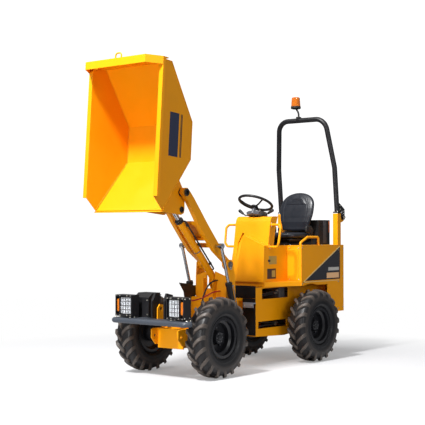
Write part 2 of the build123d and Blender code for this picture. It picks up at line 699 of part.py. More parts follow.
# ---------------------------------------------------------------- rear chassis
def rear_frame():
    """Two side plates with their windows, the cross plates, the steering fork and its king pin."""
    outline = [(frame_front_y, body_bottom), (frame_front_y, 268), (520, 250), (640, 262), (1180, 262),
               (1230, 330), (1230, body_bottom)]
    plate = side_plate(outline, frame_half - frame_plate, frame_plate)
    plate -= block(frame_half - 30, frame_half + 5, 168, 590, 602, 700)
    plate -= block(frame_half - 30, frame_half + 5, 110, 560, 336, 400)
    inner = frame_half - frame_plate
    front = block(-inner, inner, frame_front_y, frame_front_y + 8, 268, body_bottom)
    front -= block(steer_ram_x - 60, steer_ram_x + 60, frame_front_y - 5, frame_front_y + 13, 288, 346)
    floor = block(-inner, inner, frame_front_y + 8, 1180, 268, 276)
    rails = [block(-inner, inner, y - 25, y + 25, 360, 400) for y in (825, 1110)]
    fork = []
    for z in (knuckle_top + fork_gap, knuckle_bottom - fork_gap - fork_plate):
        fork += [block(-52, 52, 0, frame_front_y, z, z + fork_plate), upright(0, 0, z, z + fork_plate, 52)]
    pin = upright(0, 0, knuckle_bottom - fork_gap - fork_plate - 8, knuckle_top + fork_gap + fork_plate + 8,
                  king_pin_radius)
    ram_pin = upright(steer_ram_x, steer_ram_foot_y, 276, 341, 9)
    ram_boss = upright(steer_ram_x, steer_ram_foot_y, 276, 301, 12)
    whole = joined(both_sides(plate) + [front, floor] + rails + fork + [pin, ram_pin, ram_boss])
    return whole - axle(rear_axle_y)


def front_step():
    """The step on each side of the steering fork, on the front of the rear chassis."""
    inner = frame_half
    tread = block(86, inner, frame_front_y - 40, frame_front_y, 566, 576)
    lip = block(86, inner, frame_front_y - 40, frame_front_y - 34, 530, 566)
    return both_sides(tread + lip)


def operator_floor():
    """The floor with its deep edges, which widens from the console to the body."""
    side = body_half - body_plate - seam
    outline = [(-frame_half, 205), (frame_half, 205), (side, body_front_y - seam), (-side, body_front_y - seam)]
    return level_plate(outline, body_bottom + seam, floor_z - body_bottom - seam)


def console():
    """The console: a folded shield that leans back, with cheeks that run on to the body."""
    t = console_plate
    z0 = floor_z + seam
    outer = [(190, z0), (262, 1069), (296, 1290), (301, 1316), (311, 1340), (329, 1357), (352, 1362), (450, 1362)]
    inner = [(450, 1362 - t), (353, 1362 - t), (332, 1352), (315, 1336), (306, 1315), (301, 1289), (267, 1069),
             (190 + t, z0)]
    shield = side_plate(outer + inner, -frame_half, 2 * frame_half)
    back = body_front_y - seam
    panel = cross_plate([(-108, z0), (-98, 960), (-46, 1165), (-22, 1180), (frame_half, panel_corner_z),
                         (frame_half, z0)], 180, 120)
    panel &= side_plate([(190, z0), (205, 1200), (283, 1200), (264, 1069)], -frame_half, 2 * frame_half)
    slot = cross_plate([(-150, 985), (-150, 1110), (-110, 1205), (-88, 1205), (-92, 1130), (-118, 1030),
                        (-132, 985)], 200, 120)
    cheek = side_plate([(192, z0), (264, 1069), (299, 1290), (304, 1316), (314, 1338), (331, 1354), (353, 1359), (420, 1359),
                        (392, 1290), (352, deck_z), (back, deck_z), (back, z0)], frame_half - t, t)
    return joined([shield - slot, panel] + both_sides(cheek))


panel_corner_z = 1092.0          # top of the console's front panel at its outer corner


def grab_rail():
    """The grab rail at the left of the console."""
    return tube([(frame_half, 313, 1284), (frame_half + 92, 313, 1284), (frame_half + 116, 300, 1254),
                 (frame_half + 110, 276, 1116), (frame_half + 90, 284, 1080), (frame_half, 284, 1080)], 11, 18)


def deck_rail():
    """The grab handle on the left edge of the deck."""
    x = body_half - 24
    return tube([(x, 594, deck_z), (x, 594, 1116), (x, 712, 1168), (x, 900, 1168), (x, 900, deck_z)], 11, 20)


def body_side():
    """The left side of the body, with its wheel arch."""
    top = deck_z - body_plate - seam
    back = cover_start_y - seam
    outline = [(body_front_y, body_bottom), (body_front_y, top), (back, top), (back, skirt_bottom),
               (rear_axle_y + 300, skirt_bottom), (rear_axle_y + 300, body_bottom)]
    plate = side_plate(outline, body_half - body_plate, body_plate)
    return plate - cross_bar(body_half - 60, body_half + 20, rear_axle_y, tyre_radius, arch_radius)


def body_front():
    """The front wall of the body, with a raised panel on each side of the footwell."""
    side = body_half - body_plate - seam
    wall = block(-side, side, body_front_y, body_front_y + body_plate, body_bottom + seam, deck_z - body_plate - seam)
    panel = block(frame_half + 12, side - 22, body_front_y - 5, body_front_y, floor_z + 10, deck_z - 40)
    panel = fillet(panel.edges().filter_by(Axis.Y), 14)
    return joined([wall] + both_sides(panel))


def deck():
    """The deck over the body."""
    return block(-body_half, body_half, body_front_y, cover_start_y - seam, deck_z - body_plate, deck_z)


def rear_cover():
    """The rear cover: the back panel with its side and top flanges."""
    back = block(-body_half, body_half, body_back_y - 6, body_back_y, skirt_bottom, deck_z)
    side = block(body_half - 6, body_half, cover_start_y, body_back_y, skirt_bottom, deck_z)
    top = block(-body_half, body_half, cover_start_y, body_back_y, deck_z - 6, deck_z)
    return joined([back, top] + both_sides(side))


def engine_block():
    """The engine and pump, one block at their place under the seat."""
    return block(-170, 170, 700, 1165, 400.3, 905)


def vent_box():
    """The black air intake box behind the seat."""
    return block(-205, 205, 1112, 1312, deck_z, 1334)


def seat_base():
    """The seat's bellows base on the deck."""
    base = block(-150, 150, 700, 1000, deck_z, deck_z + 14)
    folds = [block(-140 + i * 4, 140 - i * 4, 712 + i * 4, 988 - i * 4, deck_z + 14 + i * 14, deck_z + 28 + i * 14)
             for i in range(3)]
    return joined([base] + folds)


def seat_cushion():
    """The seat's cushion, a plain soft solid."""
    shape = block(-200, 200, 655, 1010, 1146.5, 1218)
    return fillet(shape.edges().filter_by(Axis.Z), 60)


def seat_back():
    """The seat's back, a plain soft solid that leans rearwards."""
    outline = [(968, 1218.3), (1048, 1218.3), (1102, 1540), (1096, 1590), (1060, 1606), (1032, 1580)]
    return side_plate(outline, -195, 390)


def steering_column():
    """The instrument hood on the console with the upper column, and the lower column under it."""
    hood = side_plate([(352, 1362.3), (440, 1362.3), (424, 1402), (330, 1416), (292, 1402), (296, 1384)], -70, 140)
    upper = Pos(0, *wheel_hub) * Rot(column_lean, 0, 0) * Pos(0, 0, -31) * Cylinder(19, 60)
    lower = upright(0, 385, floor_z + seam, 1354, 24)
    return [hood + upper, lower]


wheel_hub = (322.0, 1443.0)
column_lean = -24.0


def steering_wheel():
    """A three-spoke steering wheel with a dished hub, drawn flat and set on the column."""
    ring = Pos(0, 0, 52) * Torus(158, 12)
    hub = Pos(0, 0, 9) * Cylinder(34, 16)
    spoke = tube([(20, 0, 8), (90, 0, 22), (155, 0, 52)], 8, 30)
    spokes = [Rot(0, 0, 90 + i * 120) * spoke for i in range(3)]
    return Pos(0, *wheel_hub) * Rot(column_lean, 0, 0) * joined([ring, hub] + spokes)


def lever():
    """The left control lever beside the hood, with its knob."""
    stick = tube([(70, 385, 1378), (112, 385, 1378), (150, 372, 1424)], 6, 20)
    return stick + Pos(152, 371, 1428) * Sphere(15)


# ---------------------------------------------------------------- roll bar
def rops_post():
    """The left post of the roll bar on the body, with its folding bracket."""
    post = block(hoop_half - post_half, hoop_half + post_half - 6, hoop_y - post_half, hoop_y + post_half,
                 deck_z, post_top_z)
    y, z = fold_pin
    ear = side_plate([(hoop_y + post_half, 1300), (y + 26, 1325), (y + 26, z + 24), (hoop_y + post_half, z + 30)],
                     hoop_half - 6, 12)
    return post + (ear - cross_bar(hoop_half - 20, hoop_half + 20, y, z, 10 + pin_clearance))


def hoop_foot():
    """The left foot of the hoop: a sole above the post, two cheeks and the folding pin."""
    y, z = fold_pin
    sole = block(hoop_half - post_half, hoop_half + post_half - 6, hoop_y - post_half, hoop_y + post_half + 8,
                 post_top_z + 6, post_top_z + 16)
    outline = [(hoop_y + post_half + 8, post_top_z + 6), (y - 14, z - 24), (y + 26, z - 24), (y + 26, z + 80),
               (hoop_y + 20, 1500), (hoop_y + 20, post_top_z + 6)]
    cheeks = [side_plate(outline, hoop_half + x0, 9) for x0 in (-18, 9)]
    pin = cross_bar(hoop_half - 26, hoop_half + 26, y, z, 10)
    return [sole, pin] + cheeks


def rops_hoop():
    """The folding hoop: one bent tube with a bracket at each foot."""
    foot_z = post_top_z + 8
    top_z = hoop_top_z - hoop_tube_radius
    left = [(hoop_half, hoop_y, foot_z), (hoop_half, hoop_bend_y, hoop_bend_z), (hoop_top_half, hoop_top_y, top_z)]
    right = [(-x, y, z) for x, y, z in reversed(left)]
    path = FilletPolyline(*left, *right, radius=hoop_bend_radius)
    section = Plane(origin=path @ 0, z_dir=path % 0) * Circle(hoop_tube_radius)
    feet = hoop_foot()
    return joined([sweep(section, path=path)] + feet + [mirror(s, about=Plane.YZ) for s in feet])


hoop_bend_radius = 120.0


def beacon():
    """The flashing beacon on its stalk, with a saddle on the hoop."""
    top = hoop_top_z
    y = hoop_top_y
    saddle = block(-52, -20, y - 30, y + 30, top - 20, top + 12)
    saddle -= cross_bar(-60, 0, y, top - hoop_tube_radius, hoop_tube_radius + 0.1)
    stalk = tube([(-36, y, top + 8), (-36, y, top + 50), (-64, y, top + 96)], 9, 30)
    base = Pos(-70, y, top + 108) * Cylinder(50, 26)
    dome = Pos(-70, y, top + 168) * Cone(46, 38, 94)
    return joined([saddle, stalk, base, dome])


# ---------------------------------------------------------------- write every piece
write_wheels()
write_rams()

# name, the function that makes it
front_pieces = [
    ("front_frame", front_frame),
    ("front_pins", front_pins),
    ("tip_ram_mount", tip_ram_mount),
    ("front_ear", front_ear),
    ("bumper", bumper),
    ("front_cover", front_cover),
    ("skip_rests", skip_rests),
    ("hose_guard", hose_guard),
    ("lift_arms", lift_arms),
    ("skip_shaft", skip_shaft),
    ("tower_hose", tower_hose),
    ("lamp_hose", lamp_hose),
]
rear_pieces = [
    ("rear_frame", rear_frame),
    ("front_step", front_step),
    ("operator_floor", operator_floor),
    ("console", console),
    ("body_front", body_front),
    ("deck", deck),
    ("rear_cover", rear_cover),
    ("engine_block", engine_block),
    ("vent_box", vent_box),
    ("seat_base", seat_base),
    ("seat_cushion", seat_cushion),
    ("seat_back", seat_back),
    ("steering_column", steering_column),
    ("steering_wheel", steering_wheel),
    ("rops_hoop", rops_hoop),
    ("beacon", beacon),
]
for piece, make in front_pieces + rear_pieces:
    write(piece, make())

# name, the function that makes its left one
paired_pieces = [
    ("head_lamps", lamp),
    ("turn_lamps", turn_lamp),
    ("control_levers", lever),
    ("grab_rails", grab_rail),
    ("deck_rails", deck_rail),
    ("rops_posts", rops_post),
]
for piece, make in paired_pieces:
    write(piece, both_sides(make()))

write("front_axle", axle(front_axle_y))
write("rear_axle", axle(rear_axle_y))
write("skip", tipped(skip()))
write("skip_bracket", tipped(skip_bracket()))
left_side, right_side = both_sides(body_side())
write("body_side_left", left_side)
write("body_side_right", right_side)
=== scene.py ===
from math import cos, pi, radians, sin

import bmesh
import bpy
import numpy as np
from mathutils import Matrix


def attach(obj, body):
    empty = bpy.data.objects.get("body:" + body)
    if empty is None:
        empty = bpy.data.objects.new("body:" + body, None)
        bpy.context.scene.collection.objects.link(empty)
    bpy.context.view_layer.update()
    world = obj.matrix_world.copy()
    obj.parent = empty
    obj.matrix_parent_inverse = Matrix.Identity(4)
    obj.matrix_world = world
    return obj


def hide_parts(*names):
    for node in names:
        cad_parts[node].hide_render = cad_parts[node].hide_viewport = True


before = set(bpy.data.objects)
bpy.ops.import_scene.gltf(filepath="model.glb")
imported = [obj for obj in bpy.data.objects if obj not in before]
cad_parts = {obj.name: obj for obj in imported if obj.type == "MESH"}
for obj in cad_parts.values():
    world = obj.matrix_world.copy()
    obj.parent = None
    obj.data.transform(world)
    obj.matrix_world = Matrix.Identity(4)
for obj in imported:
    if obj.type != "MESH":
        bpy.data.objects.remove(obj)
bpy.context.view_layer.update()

# %% [markdown]
# # A high-tip site dumper, dressed for the studio
# The frame that was just loaded is the machine as it was cut, bent and welded: plates,
# tubes, cylinders, wheels. What is still missing is all that a painter, a fitter and an
# upholsterer add. Each cell below takes one of those jobs.
#
# Sizes are in millimetres about the steering joint in the machine's middle, with X to
# its left side, Y to its rear and Z up. `make` turns them into metres and moves them
# along Y to where the frame has that joint.

JOINT = 98.0                       # the steering joint stands this far behind the origin
AXLE_Z = 338                       # the wheels' axles over the floor
LEFT, FRONT, UP = (1, 0, 0), (0, -1, 0), (0, 0, 1)
WHEELS = {"front_left": (395, -730), "front_right": (-395, -730),
          "rear_left": (395, 730), "rear_right": (-395, 730)}


def net(rows, cols, around=True, along=False):
    """Four-sided faces between rows of points; around joins the last column to the first, and
    along the last row to the first."""
    last_row, last_col = rows - (not along), cols - (not around)
    r, c = np.meshgrid(np.arange(last_row), np.arange(last_col), indexing="ij")
    r2, c2 = (r + 1) % rows, (c + 1) % cols
    return np.stack([r * cols + c, r * cols + c2, r2 * cols + c2, r2 * cols + c], -1).reshape(-1, 4)


def skin(rings, along=False):
    """A closed skin over rings of points: a fan of triangles closes each end, or, along, the
    last ring joins the first."""
    rows, cols = rings.shape[:2]
    points = rings.reshape(-1, 3)
    if along:
        return points, net(rows, cols, along=True)
    c, top = np.arange(cols), (rows - 1) * cols
    low = np.stack([np.full(cols, rows * cols), (c + 1) % cols, c], 1)
    high = np.stack([np.full(cols, rows * cols + 1), top + c, top + (c + 1) % cols], 1)
    points = np.concatenate([points, rings[[0, -1]].mean(1)])
    return points, net(rows, cols), np.concatenate([low, high])


def axes(ahead, up=(0.31, 0.47, 0.83)):
    """Three directions at right angles for each one ahead: to the side, over, and ahead itself."""
    ahead = np.atleast_2d(np.asarray(ahead, float))
    ahead = ahead / np.linalg.norm(ahead, axis=1, keepdims=True)
    side = np.cross(ahead, np.broadcast_to(up, ahead.shape))
    side = side / np.linalg.norm(side, axis=1, keepdims=True)
    return side, np.cross(side, ahead), ahead


def sweep(path, section, up=(0.31, 0.47, 0.83)):
    """A section of (across, over) points carried along a path, square to it at every station."""
    path = np.asarray(path, float)
    side, over, _ = axes(np.gradient(path, axis=0), up)
    return path[:, None] + section[..., :1] * side[:, None] + section[..., 1:] * over[:, None]


def circle(radius, sides=14):
    """Points round a circle: radius times the cosine and sine of even steps of a turn."""
    a = np.arange(sides) * 2 * pi / sides
    return np.asarray(radius, float).reshape(-1, 1, 1) * np.stack([np.cos(a), np.sin(a)], -1)[None]


def rod(path, radius, sides=14):
    """A round bar along a path of points."""
    return skin(sweep(path, circle(radius, sides)))


def eased(path, rounds=3):
    """A path with its corners cut at a quarter of each run, over and over, till they are round."""
    path = np.asarray(path, float)
    for _ in range(rounds):
        a, b = path[:-1], path[1:]
        cut = np.stack([0.75 * a + 0.25 * b, 0.25 * a + 0.75 * b], 1).reshape(-1, 3)
        path = np.concatenate([path[:1], cut, path[-1:]])
    return path


def turned(profile, place=(0, 0, 0), ahead=UP, sides=24, hollow=False):
    """A turned piece: each (distance ahead, radius) of the profile goes once round the axis. A
    hollow one is a ring."""
    profile = np.asarray(profile, float)
    side, over, ahead = (v[0] for v in axes(ahead))
    ring = circle(profile[:, 1], sides)
    rings = ring[..., :1] * side + ring[..., 1:] * over + profile[:, None, :1] * ahead
    return skin(rings + np.asarray(place, float), along=hollow)


def pillow(low, high, corner, edge, axis=2, steps=5):
    """A box with round corners in plan and quarter-round edges at both ends of its axis."""
    low, high = (np.roll(np.asarray(v, float), 2 - axis) for v in (low, high))
    a = (np.arange(4).repeat(steps) + np.tile(np.linspace(0, 1, steps), 4)) * pi / 2
    quarter = np.arange(4).repeat(steps)
    sx, sy = np.array([1, -1, -1, 1])[quarter], np.array([1, 1, -1, -1])[quarter]
    t = np.linspace(0, pi / 2, steps)
    inset = edge * np.concatenate([1 - np.sin(t), 1 - np.cos(t)])[:, None]
    z = np.concatenate([low[2] + edge * (1 - np.cos(t)), high[2] - edge * (1 - np.sin(t))])
    half, middle = (high - low) / 2, (high + low) / 2
    radius = np.maximum(corner - inset, 0.2)
    x = middle[0] + sx * (half[0] - inset - radius) + radius * np.cos(a)
    y = middle[1] + sy * (half[1] - inset - radius) + radius * np.sin(a)
    rings = np.stack([x, y, np.broadcast_to(z[:, None], x.shape)], -1)
    return skin(np.roll(rings, axis - 2, axis=-1))


def many(piece, places, ahead):
    """Copies of one small piece, drawn along +Z, at many places, each turned to face ahead."""
    points, faces = piece[0], piece[1:]
    places = np.atleast_2d(np.asarray(places, float))
    side, over, ahead = (np.broadcast_to(v, places.shape) for v in axes(ahead))
    turn = np.stack([side, over, ahead], 1)
    world = places[:, None] + np.einsum("pk,nkj->npj", points, turn)
    shift = (np.arange(len(places)) * len(points))[:, None, None]
    return (world.reshape(-1, 3), *[(f[None] + shift).reshape(-1, f.shape[1]) for f in faces])


def bolt(across=16.0, height=9.0):
    """A hexagon head on its washer: twelve columns, the even ones at the corners, the odd ones
    on the flats."""
    corner = np.where(np.arange(12) % 2, 1.0, 1 / cos(radians(30)))
    radius = np.array([1.25, 1.25, 1.0, 1.0, 0.92, 0.5])[:, None] * (across / 2)
    hexed = np.array([0, 0, 1, 1, 0, 0])[:, None]
    radius = radius * np.where(hexed, corner, 1.0)
    z = np.array([0, 2.0, 2.0, height - 1.2, height, height - 0.6])[:, None]
    a = np.arange(12) * pi / 6
    z = np.broadcast_to(z, radius.shape)
    return skin(np.stack([radius * np.cos(a), radius * np.sin(a), z], -1))


def bead(path, radius=2.6, ripple=4.5):
    """A weld bead: a thin bar whose radius swells and shrinks once for each ripple along it."""
    path = np.asarray(path, float)
    run = np.concatenate([[0], np.cumsum(np.linalg.norm(np.diff(path, axis=0), axis=1))])
    s = np.arange(0, run[-1], ripple / 3)
    line = np.stack([np.interp(s, run, path[:, k]) for k in range(3)], 1)
    return skin(sweep(line, circle(radius * (0.8 + 0.2 * np.abs(np.sin(pi * s / ripple))), 6)))


def mirrored(piece):
    """The same piece on the machine's other side."""
    return (piece[0] * (-1, 1, 1), *piece[1:])


def pair(*shapes):
    """Shapes with their mirror images."""
    return [*shapes, *[mirrored(s) for s in shapes]]


def feed(tree, made, inputs):
    """Set a shader node's inputs: each is a plain value, or the socket that feeds it."""
    for name, value in inputs.items():
        if isinstance(value, bpy.types.NodeSocket):
            tree.links.new(value, made.inputs[name])
        else:
            made.inputs[name].default_value = value
    return made


def node(tree, kind, inputs=(), **settings):
    """A new shader node of a kind, with its settings and its inputs."""
    made = tree.nodes.new("ShaderNode" + kind)
    for name, value in settings.items():
        setattr(made, name, value)
    return feed(tree, made, dict(inputs))


def mixed(tree, share, first, second):
    """The colour that lies between two others at a share."""
    inputs = {"Factor": share, "A": first, "B": second}
    return node(tree, "Mix", inputs, data_type="RGBA").outputs["Result"]


def make(name, shapes, look, body="rear_chassis", angle=32, replaces=()):
    """One object from shapes in millimetres: joined, its faces turned outwards, its edges sharp
    past an angle."""
    points, faces, sizes, start = [], [], [], 0
    for shape in shapes:
        points.append(shape[0])
        for f in shape[1:]:
            faces.append((f + start).ravel())
            sizes.append(np.full(len(f), f.shape[1]))
        start += len(shape[0])
    points = (np.concatenate(points) + (0, JOINT, 0)) / 1000
    loops, sizes = np.concatenate(faces), np.concatenate(sizes)
    mesh = bpy.data.meshes.new(name)
    mesh.vertices.add(len(points))
    mesh.vertices.foreach_set("co", points.ravel())
    mesh.loops.add(len(loops))
    mesh.loops.foreach_set("vertex_index", loops.astype(np.int32))
    mesh.polygons.add(len(sizes))
    mesh.polygons.foreach_set("loop_start", (np.cumsum(sizes) - sizes).astype(np.int32))
    mesh.update(calc_edges=True)
    bm = bmesh.new()
    bm.from_mesh(mesh)
    bmesh.ops.remove_doubles(bm, verts=bm.verts, dist=1e-6)
    bmesh.ops.dissolve_degenerate(bm, edges=bm.edges, dist=1e-7)
    bmesh.ops.recalc_face_normals(bm, faces=bm.faces)
    bm.to_mesh(mesh)
    bm.free()
    mesh.shade_smooth()
    mesh.set_sharp_from_angle(angle=radians(angle))
    mesh.materials.append(look)
    piece = bpy.data.objects.new(name, mesh)
    bpy.context.scene.collection.objects.link(piece)
    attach(piece, body)
    if replaces:
        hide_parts(*replaces)
    return piece


def bolts(name, body, *groups, both_sides=True):
    """A body's zinc-plated bolts; each group is (across, height, places, the way they face)."""
    heads = [many(bolt(across, height), places, ahead) for across, height, places, ahead in groups]
    make(name, pair(*heads) if both_sides else heads, zinc, body)


# %% [markdown]
# ## The camera
# It stands low, ahead of the machine and to its left, a good nine metres off, so that the
# tyres, the skip and the seat all read at their true proportions with little perspective.

# %% Camera
scene = bpy.context.scene
camera = bpy.data.objects.new("camera", bpy.data.cameras.new("camera"))
scene.collection.objects.link(camera)
bpy.context.scene.camera = camera
camera.data.lens = 88.1
camera.data.sensor_width = 36.0
azimuth, fall = radians(38.7), radians(-1.0)
camera.location = (5.793, -7.536 + JOINT / 1000, 1.229)
camera.rotation_euler = (pi / 2 - fall, 0, azimuth)
scene.render.resolution_x = scene.render.resolution_y = 1024
scene.view_settings.view_transform = "Standard"
print("camera at", tuple(round(v, 2) for v in camera.location))

# %% [markdown]
# ## The studio
# A pale floor catches the soft shadow of the wheels. It fades into pure white a few metres
# out, and whatever lies beyond it is white for the camera, while the light that the machine
# receives comes from large soft lamps overhead, ahead and to the side.

# %% Studio
def lamp(name, place, size, power, aim=(0, -0.2, 1.1)):
    """A square soft lamp that faces a point on the machine."""
    light = bpy.data.lights.new(name, "AREA")
    light.size, light.energy = size, power
    obj = bpy.data.objects.new(name, light)
    scene.collection.objects.link(obj)
    side, over, ahead = (v[0] for v in axes(np.array(place, float) - aim, (0.01, 0.02, 1)))
    rows = np.stack([-side, over, ahead], 1)
    obj.matrix_world = Matrix([[*rows[k], place[k]] for k in range(3)] + [[0, 0, 0, 1]])
    obj.visible_camera = False


lamp("overhead", (-0.4, -1.6, 5.8), 4.0, 150)
lamp("key", (0.55, -5.4, 7.3), 0.8, 960)
lamp("side", (6.5, -1.5, 2.6), 3.0, 92)
lamp("low", (0.6, -7.2, 1.0), 1.2, 190, aim=(0, -1, 0.5))

world = bpy.data.worlds.new("studio")
scene.world = world
world.use_nodes = True
tree = world.node_tree
tree.nodes.clear()
rays = node(tree, "LightPath").outputs
seen = node(tree, "Math", {0: rays["Is Camera Ray"], 1: rays["Is Transmission Ray"]},
            operation="MAXIMUM")
room = node(tree, "Background", {"Color": (0.93, 0.96, 1.0, 1), "Strength": 0.30})
white = node(tree, "Background", {"Color": (1, 1, 1, 1), "Strength": 1.1})
both = node(tree, "MixShader", {0: seen.outputs[0], 1: room.outputs[0], 2: white.outputs[0]})
node(tree, "OutputWorld", {0: both.outputs[0]})

# %% Floor
floor_look = bpy.data.materials.new("pale_floor")
floor_look.use_nodes = True
tree = floor_look.node_tree
tree.nodes.clear()
seen = node(tree, "LightPath").outputs["Is Camera Ray"]
reach = node(tree, "VectorMath", {0: node(tree, "TexCoord").outputs["Object"]}, operation="LENGTH")
fade = node(tree, "MapRange", {"From Min": 1.9, "From Max": 3.4, "Value": reach.outputs["Value"]})
matt = node(tree, "BsdfDiffuse", {"Color": (0.52, 0.52, 0.53, 1)})
glow = node(tree, "Emission", {"Color": (0.26, 0.26, 0.26, 1), "Strength": seen})
near = node(tree, "AddShader", {0: matt.outputs[0], 1: glow.outputs[0]})
far = node(tree, "Emission", {"Color": (1, 1, 1, 1), "Strength": seen})
whole = node(tree, "MixShader", {0: fade.outputs["Result"], 1: near.outputs[0], 2: far.outputs[0]})
node(tree, "OutputMaterial", {0: whole.outputs[0]})
ground = bpy.data.meshes.new("floor")
ground.from_pydata([(-9, -9, 0), (9, -9, 0), (9, 9, 0), (-9, 9, 0)], [], [(0, 1, 2, 3)])
ground.materials.append(floor_look)
floor = bpy.data.objects.new("floor", ground)
scene.collection.objects.link(floor)
print("floor white from", fade.inputs["From Max"].default_value, "m out")

# %% [markdown]
# ## Finishes
# Most of the machine is sprayed plate. Sprayed enamel is never quite even: it is a touch
# lighter and rougher in places and it has a fine orange-peel skin; its edges are painted
# paler, partly as wear and partly as a painted highlight. One recipe makes all the paints,
# plastics and rubbers, with its colour, its gloss, how much it mottles, the depth and size of
# its grain, how rounded its edges look, how pale they are painted, and how much dust lies on
# faces that look up.

# %% Finishes
def look(name, colour, rough, metal=0.0, coat=0.0, mottle=0.08, grain=0.0, grain_size=0.004,
         edge=0.0, edge_light=0.0, dust=0.0, patch=0.15, shine=0.5):
    """A surface finish: even colour, mottled by slow noise, bumped by fine noise, paler at rounded
    edges as wear and as a painted highlight, with dust on top."""
    made = bpy.data.materials.new(name)
    made.use_nodes = True
    tree = made.node_tree
    place = node(tree, "TexCoord").outputs["Object"]
    slow = node(tree, "TexNoise", {"Scale": 1 / patch, "Detail": 6.0, "Vector": place})
    dark, light = ((*[min(1, c * t) for c in colour], 1) for t in (1 - mottle, 1 + mottle))
    shade = mixed(tree, slow.outputs["Fac"], dark, light)
    gloss = node(tree, "MapRange", {"From Min": 0.3, "From Max": 0.7, "To Min": rough * 0.82,
                                    "To Max": min(1.0, rough * 1.2), "Value": slow.outputs["Fac"]})
    surface = {"Metallic": metal, "Coat Weight": coat, "Coat Roughness": 0.12,
               "Specular IOR Level": shine, "Roughness": gloss.outputs["Result"]}
    if edge:
        surface["Normal"] = node(tree, "Bevel", {"Radius": edge}, samples=4).outputs["Normal"]
        flat = node(tree, "NewGeometry").outputs["Normal"]
        near = node(tree, "VectorMath", {0: surface["Normal"], 1: flat}, operation="DOT_PRODUCT")
        # wear and painted highlight: the colour turns paler where the bevelled normal bends away
        # from the face
        edge_highlight_and_wear = node(tree, "MapRange", {"From Min": 0.99, "From Max": 0.80, "To Max": edge_light,
                                       "Value": near.outputs["Value"]})
        pale = (*[min(1, c * 1.25 + 0.06) for c in colour], 1)
        shade = mixed(tree, edge_highlight_and_wear.outputs["Result"], shade, pale)
    if dust:
        facing = node(tree, "SeparateXYZ", {0: node(tree, "NewGeometry").outputs["Normal"]})
        lying = node(tree, "MapRange", {"From Min": -0.2, "From Max": 1.0, "To Max": dust,
                                        "Value": facing.outputs["Z"]})
        cloud = node(tree, "TexNoise", {"Scale": 38.0, "Detail": 8.0, "Vector": place})
        amount = node(tree, "Math", {0: lying.outputs["Result"], 1: cloud.outputs["Fac"]},
                      operation="MULTIPLY")
        shade = mixed(tree, amount.outputs[0], shade, (0.34, 0.29, 0.23, 1))
    if grain:
        fine = node(tree, "TexNoise", {"Scale": 1 / grain_size, "Detail": 3.0, "Vector": place})
        bump = {"Strength": grain, "Distance": grain_size * 0.15, "Height": fine.outputs["Fac"]}
        if edge:
            bump["Normal"] = surface["Normal"]
        surface["Normal"] = node(tree, "Bump", bump).outputs["Normal"]
    feed(tree, tree.nodes["Principled BSDF"], {**surface, "Base Color": shade})
    return made


yellow = look("yellow_enamel", (0.88, 0.338, 0.0015), 0.42, coat=0.04, mottle=0.05, grain=0.25,
              grain_size=0.0035, edge=0.0022, edge_light=0.5, dust=0.02, shine=0.22)
black = look("black_powder_coat", (0.009, 0.009, 0.011), 0.40, grain=0.3, grain_size=0.002,
             edge=0.0015, edge_light=0.2, dust=0.05, shine=0.4)
slate = look("slate_paint", (0.045, 0.054, 0.070), 0.40, coat=0.1, grain=0.3, edge=0.0015,
             edge_light=0.3, dust=0.05, shine=0.4)
rim_black = look("wheel_enamel", (0.010, 0.0105, 0.0135), 0.34, coat=0.1, grain=0.3,
                 grain_size=0.003, edge=0.0012, edge_light=0.25, dust=0.03, shine=0.4)
plastic = look("black_moulding", (0.009, 0.009, 0.010), 0.46, grain=0.5, grain_size=0.0012,
               edge=0.001, edge_light=0.2, dust=0.03, shine=0.4)
column_grey = look("grey_binnacle", (0.105, 0.110, 0.125), 0.42, grain=0.5, grain_size=0.0012,
                   edge=0.001, edge_light=0.3)
grey_moulding = look("grey_moulding", (0.060, 0.062, 0.068), 0.5, grain=0.5, grain_size=0.0015)
chrome = look("hard_chrome", (0.62, 0.63, 0.65), 0.13, metal=1.0, mottle=0.04, patch=0.03)
steel = look("turned_steel", (0.30, 0.30, 0.31), 0.34, metal=1.0, mottle=0.12, patch=0.02)
zinc = look("zinc_plate", (0.55, 0.53, 0.47), 0.36, metal=1.0, mottle=0.15, patch=0.02)
hose_black = look("hose_rubber", (0.016, 0.016, 0.016), 0.55, mottle=0.2, grain=0.5,
                  grain_size=0.0014, patch=0.03)
red = look("red_braided_sleeve", (0.46, 0.022, 0.018), 0.60, mottle=0.2, grain=1.0,
           grain_size=0.0018, patch=0.02)
# dull black for the sheets of painted shade over the chassis front
shade_black = look("painted_shade_black", (0.006, 0.006, 0.007), 0.60, grain=0.4, shine=0.2)
step_grey = look("step_plate_paint", (0.27, 0.30, 0.35), 0.45, grain=0.4, edge=0.001,
                 edge_light=0.3)
iron = look("engine_paint", (0.055, 0.06, 0.065), 0.5, grain=0.6, dust=0.15)


def lens_look(name, colour, rough, clear):
    """A moulded lens: coloured plastic that lets part of the light through, with a clear skin."""
    made = bpy.data.materials.new(name)
    made.use_nodes = True
    feed(made.node_tree, made.node_tree.nodes["Principled BSDF"],
         {"Base Color": (*colour, 1), "Roughness": rough, "Transmission Weight": clear,
          "IOR": 1.49, "Coat Weight": 0.6})
    return made


amber = lens_look("amber_lens", (0.95, 0.27, 0.012), 0.12, 0.35)
beacon_amber = lens_look("beacon_lens", (0.70, 0.17, 0.006), 0.12, 0.30)
clear = lens_look("clear_lens", (0.95, 0.97, 1.0), 0.05, 0.85)
mirror_dish = look("reflector", (0.93, 0.94, 0.96), 0.32, metal=0.55, mottle=0.02)
peach_film = look("peach_film", (0.86, 0.50, 0.24), 0.4, coat=0.3, mottle=0.03)


def label_look(name, colour):
    """Printed film: one even colour, a little glossy, with a faint grain."""
    return look(name, colour, 0.4, coat=0.3, mottle=0.03, grain=0.15, grain_size=0.001)


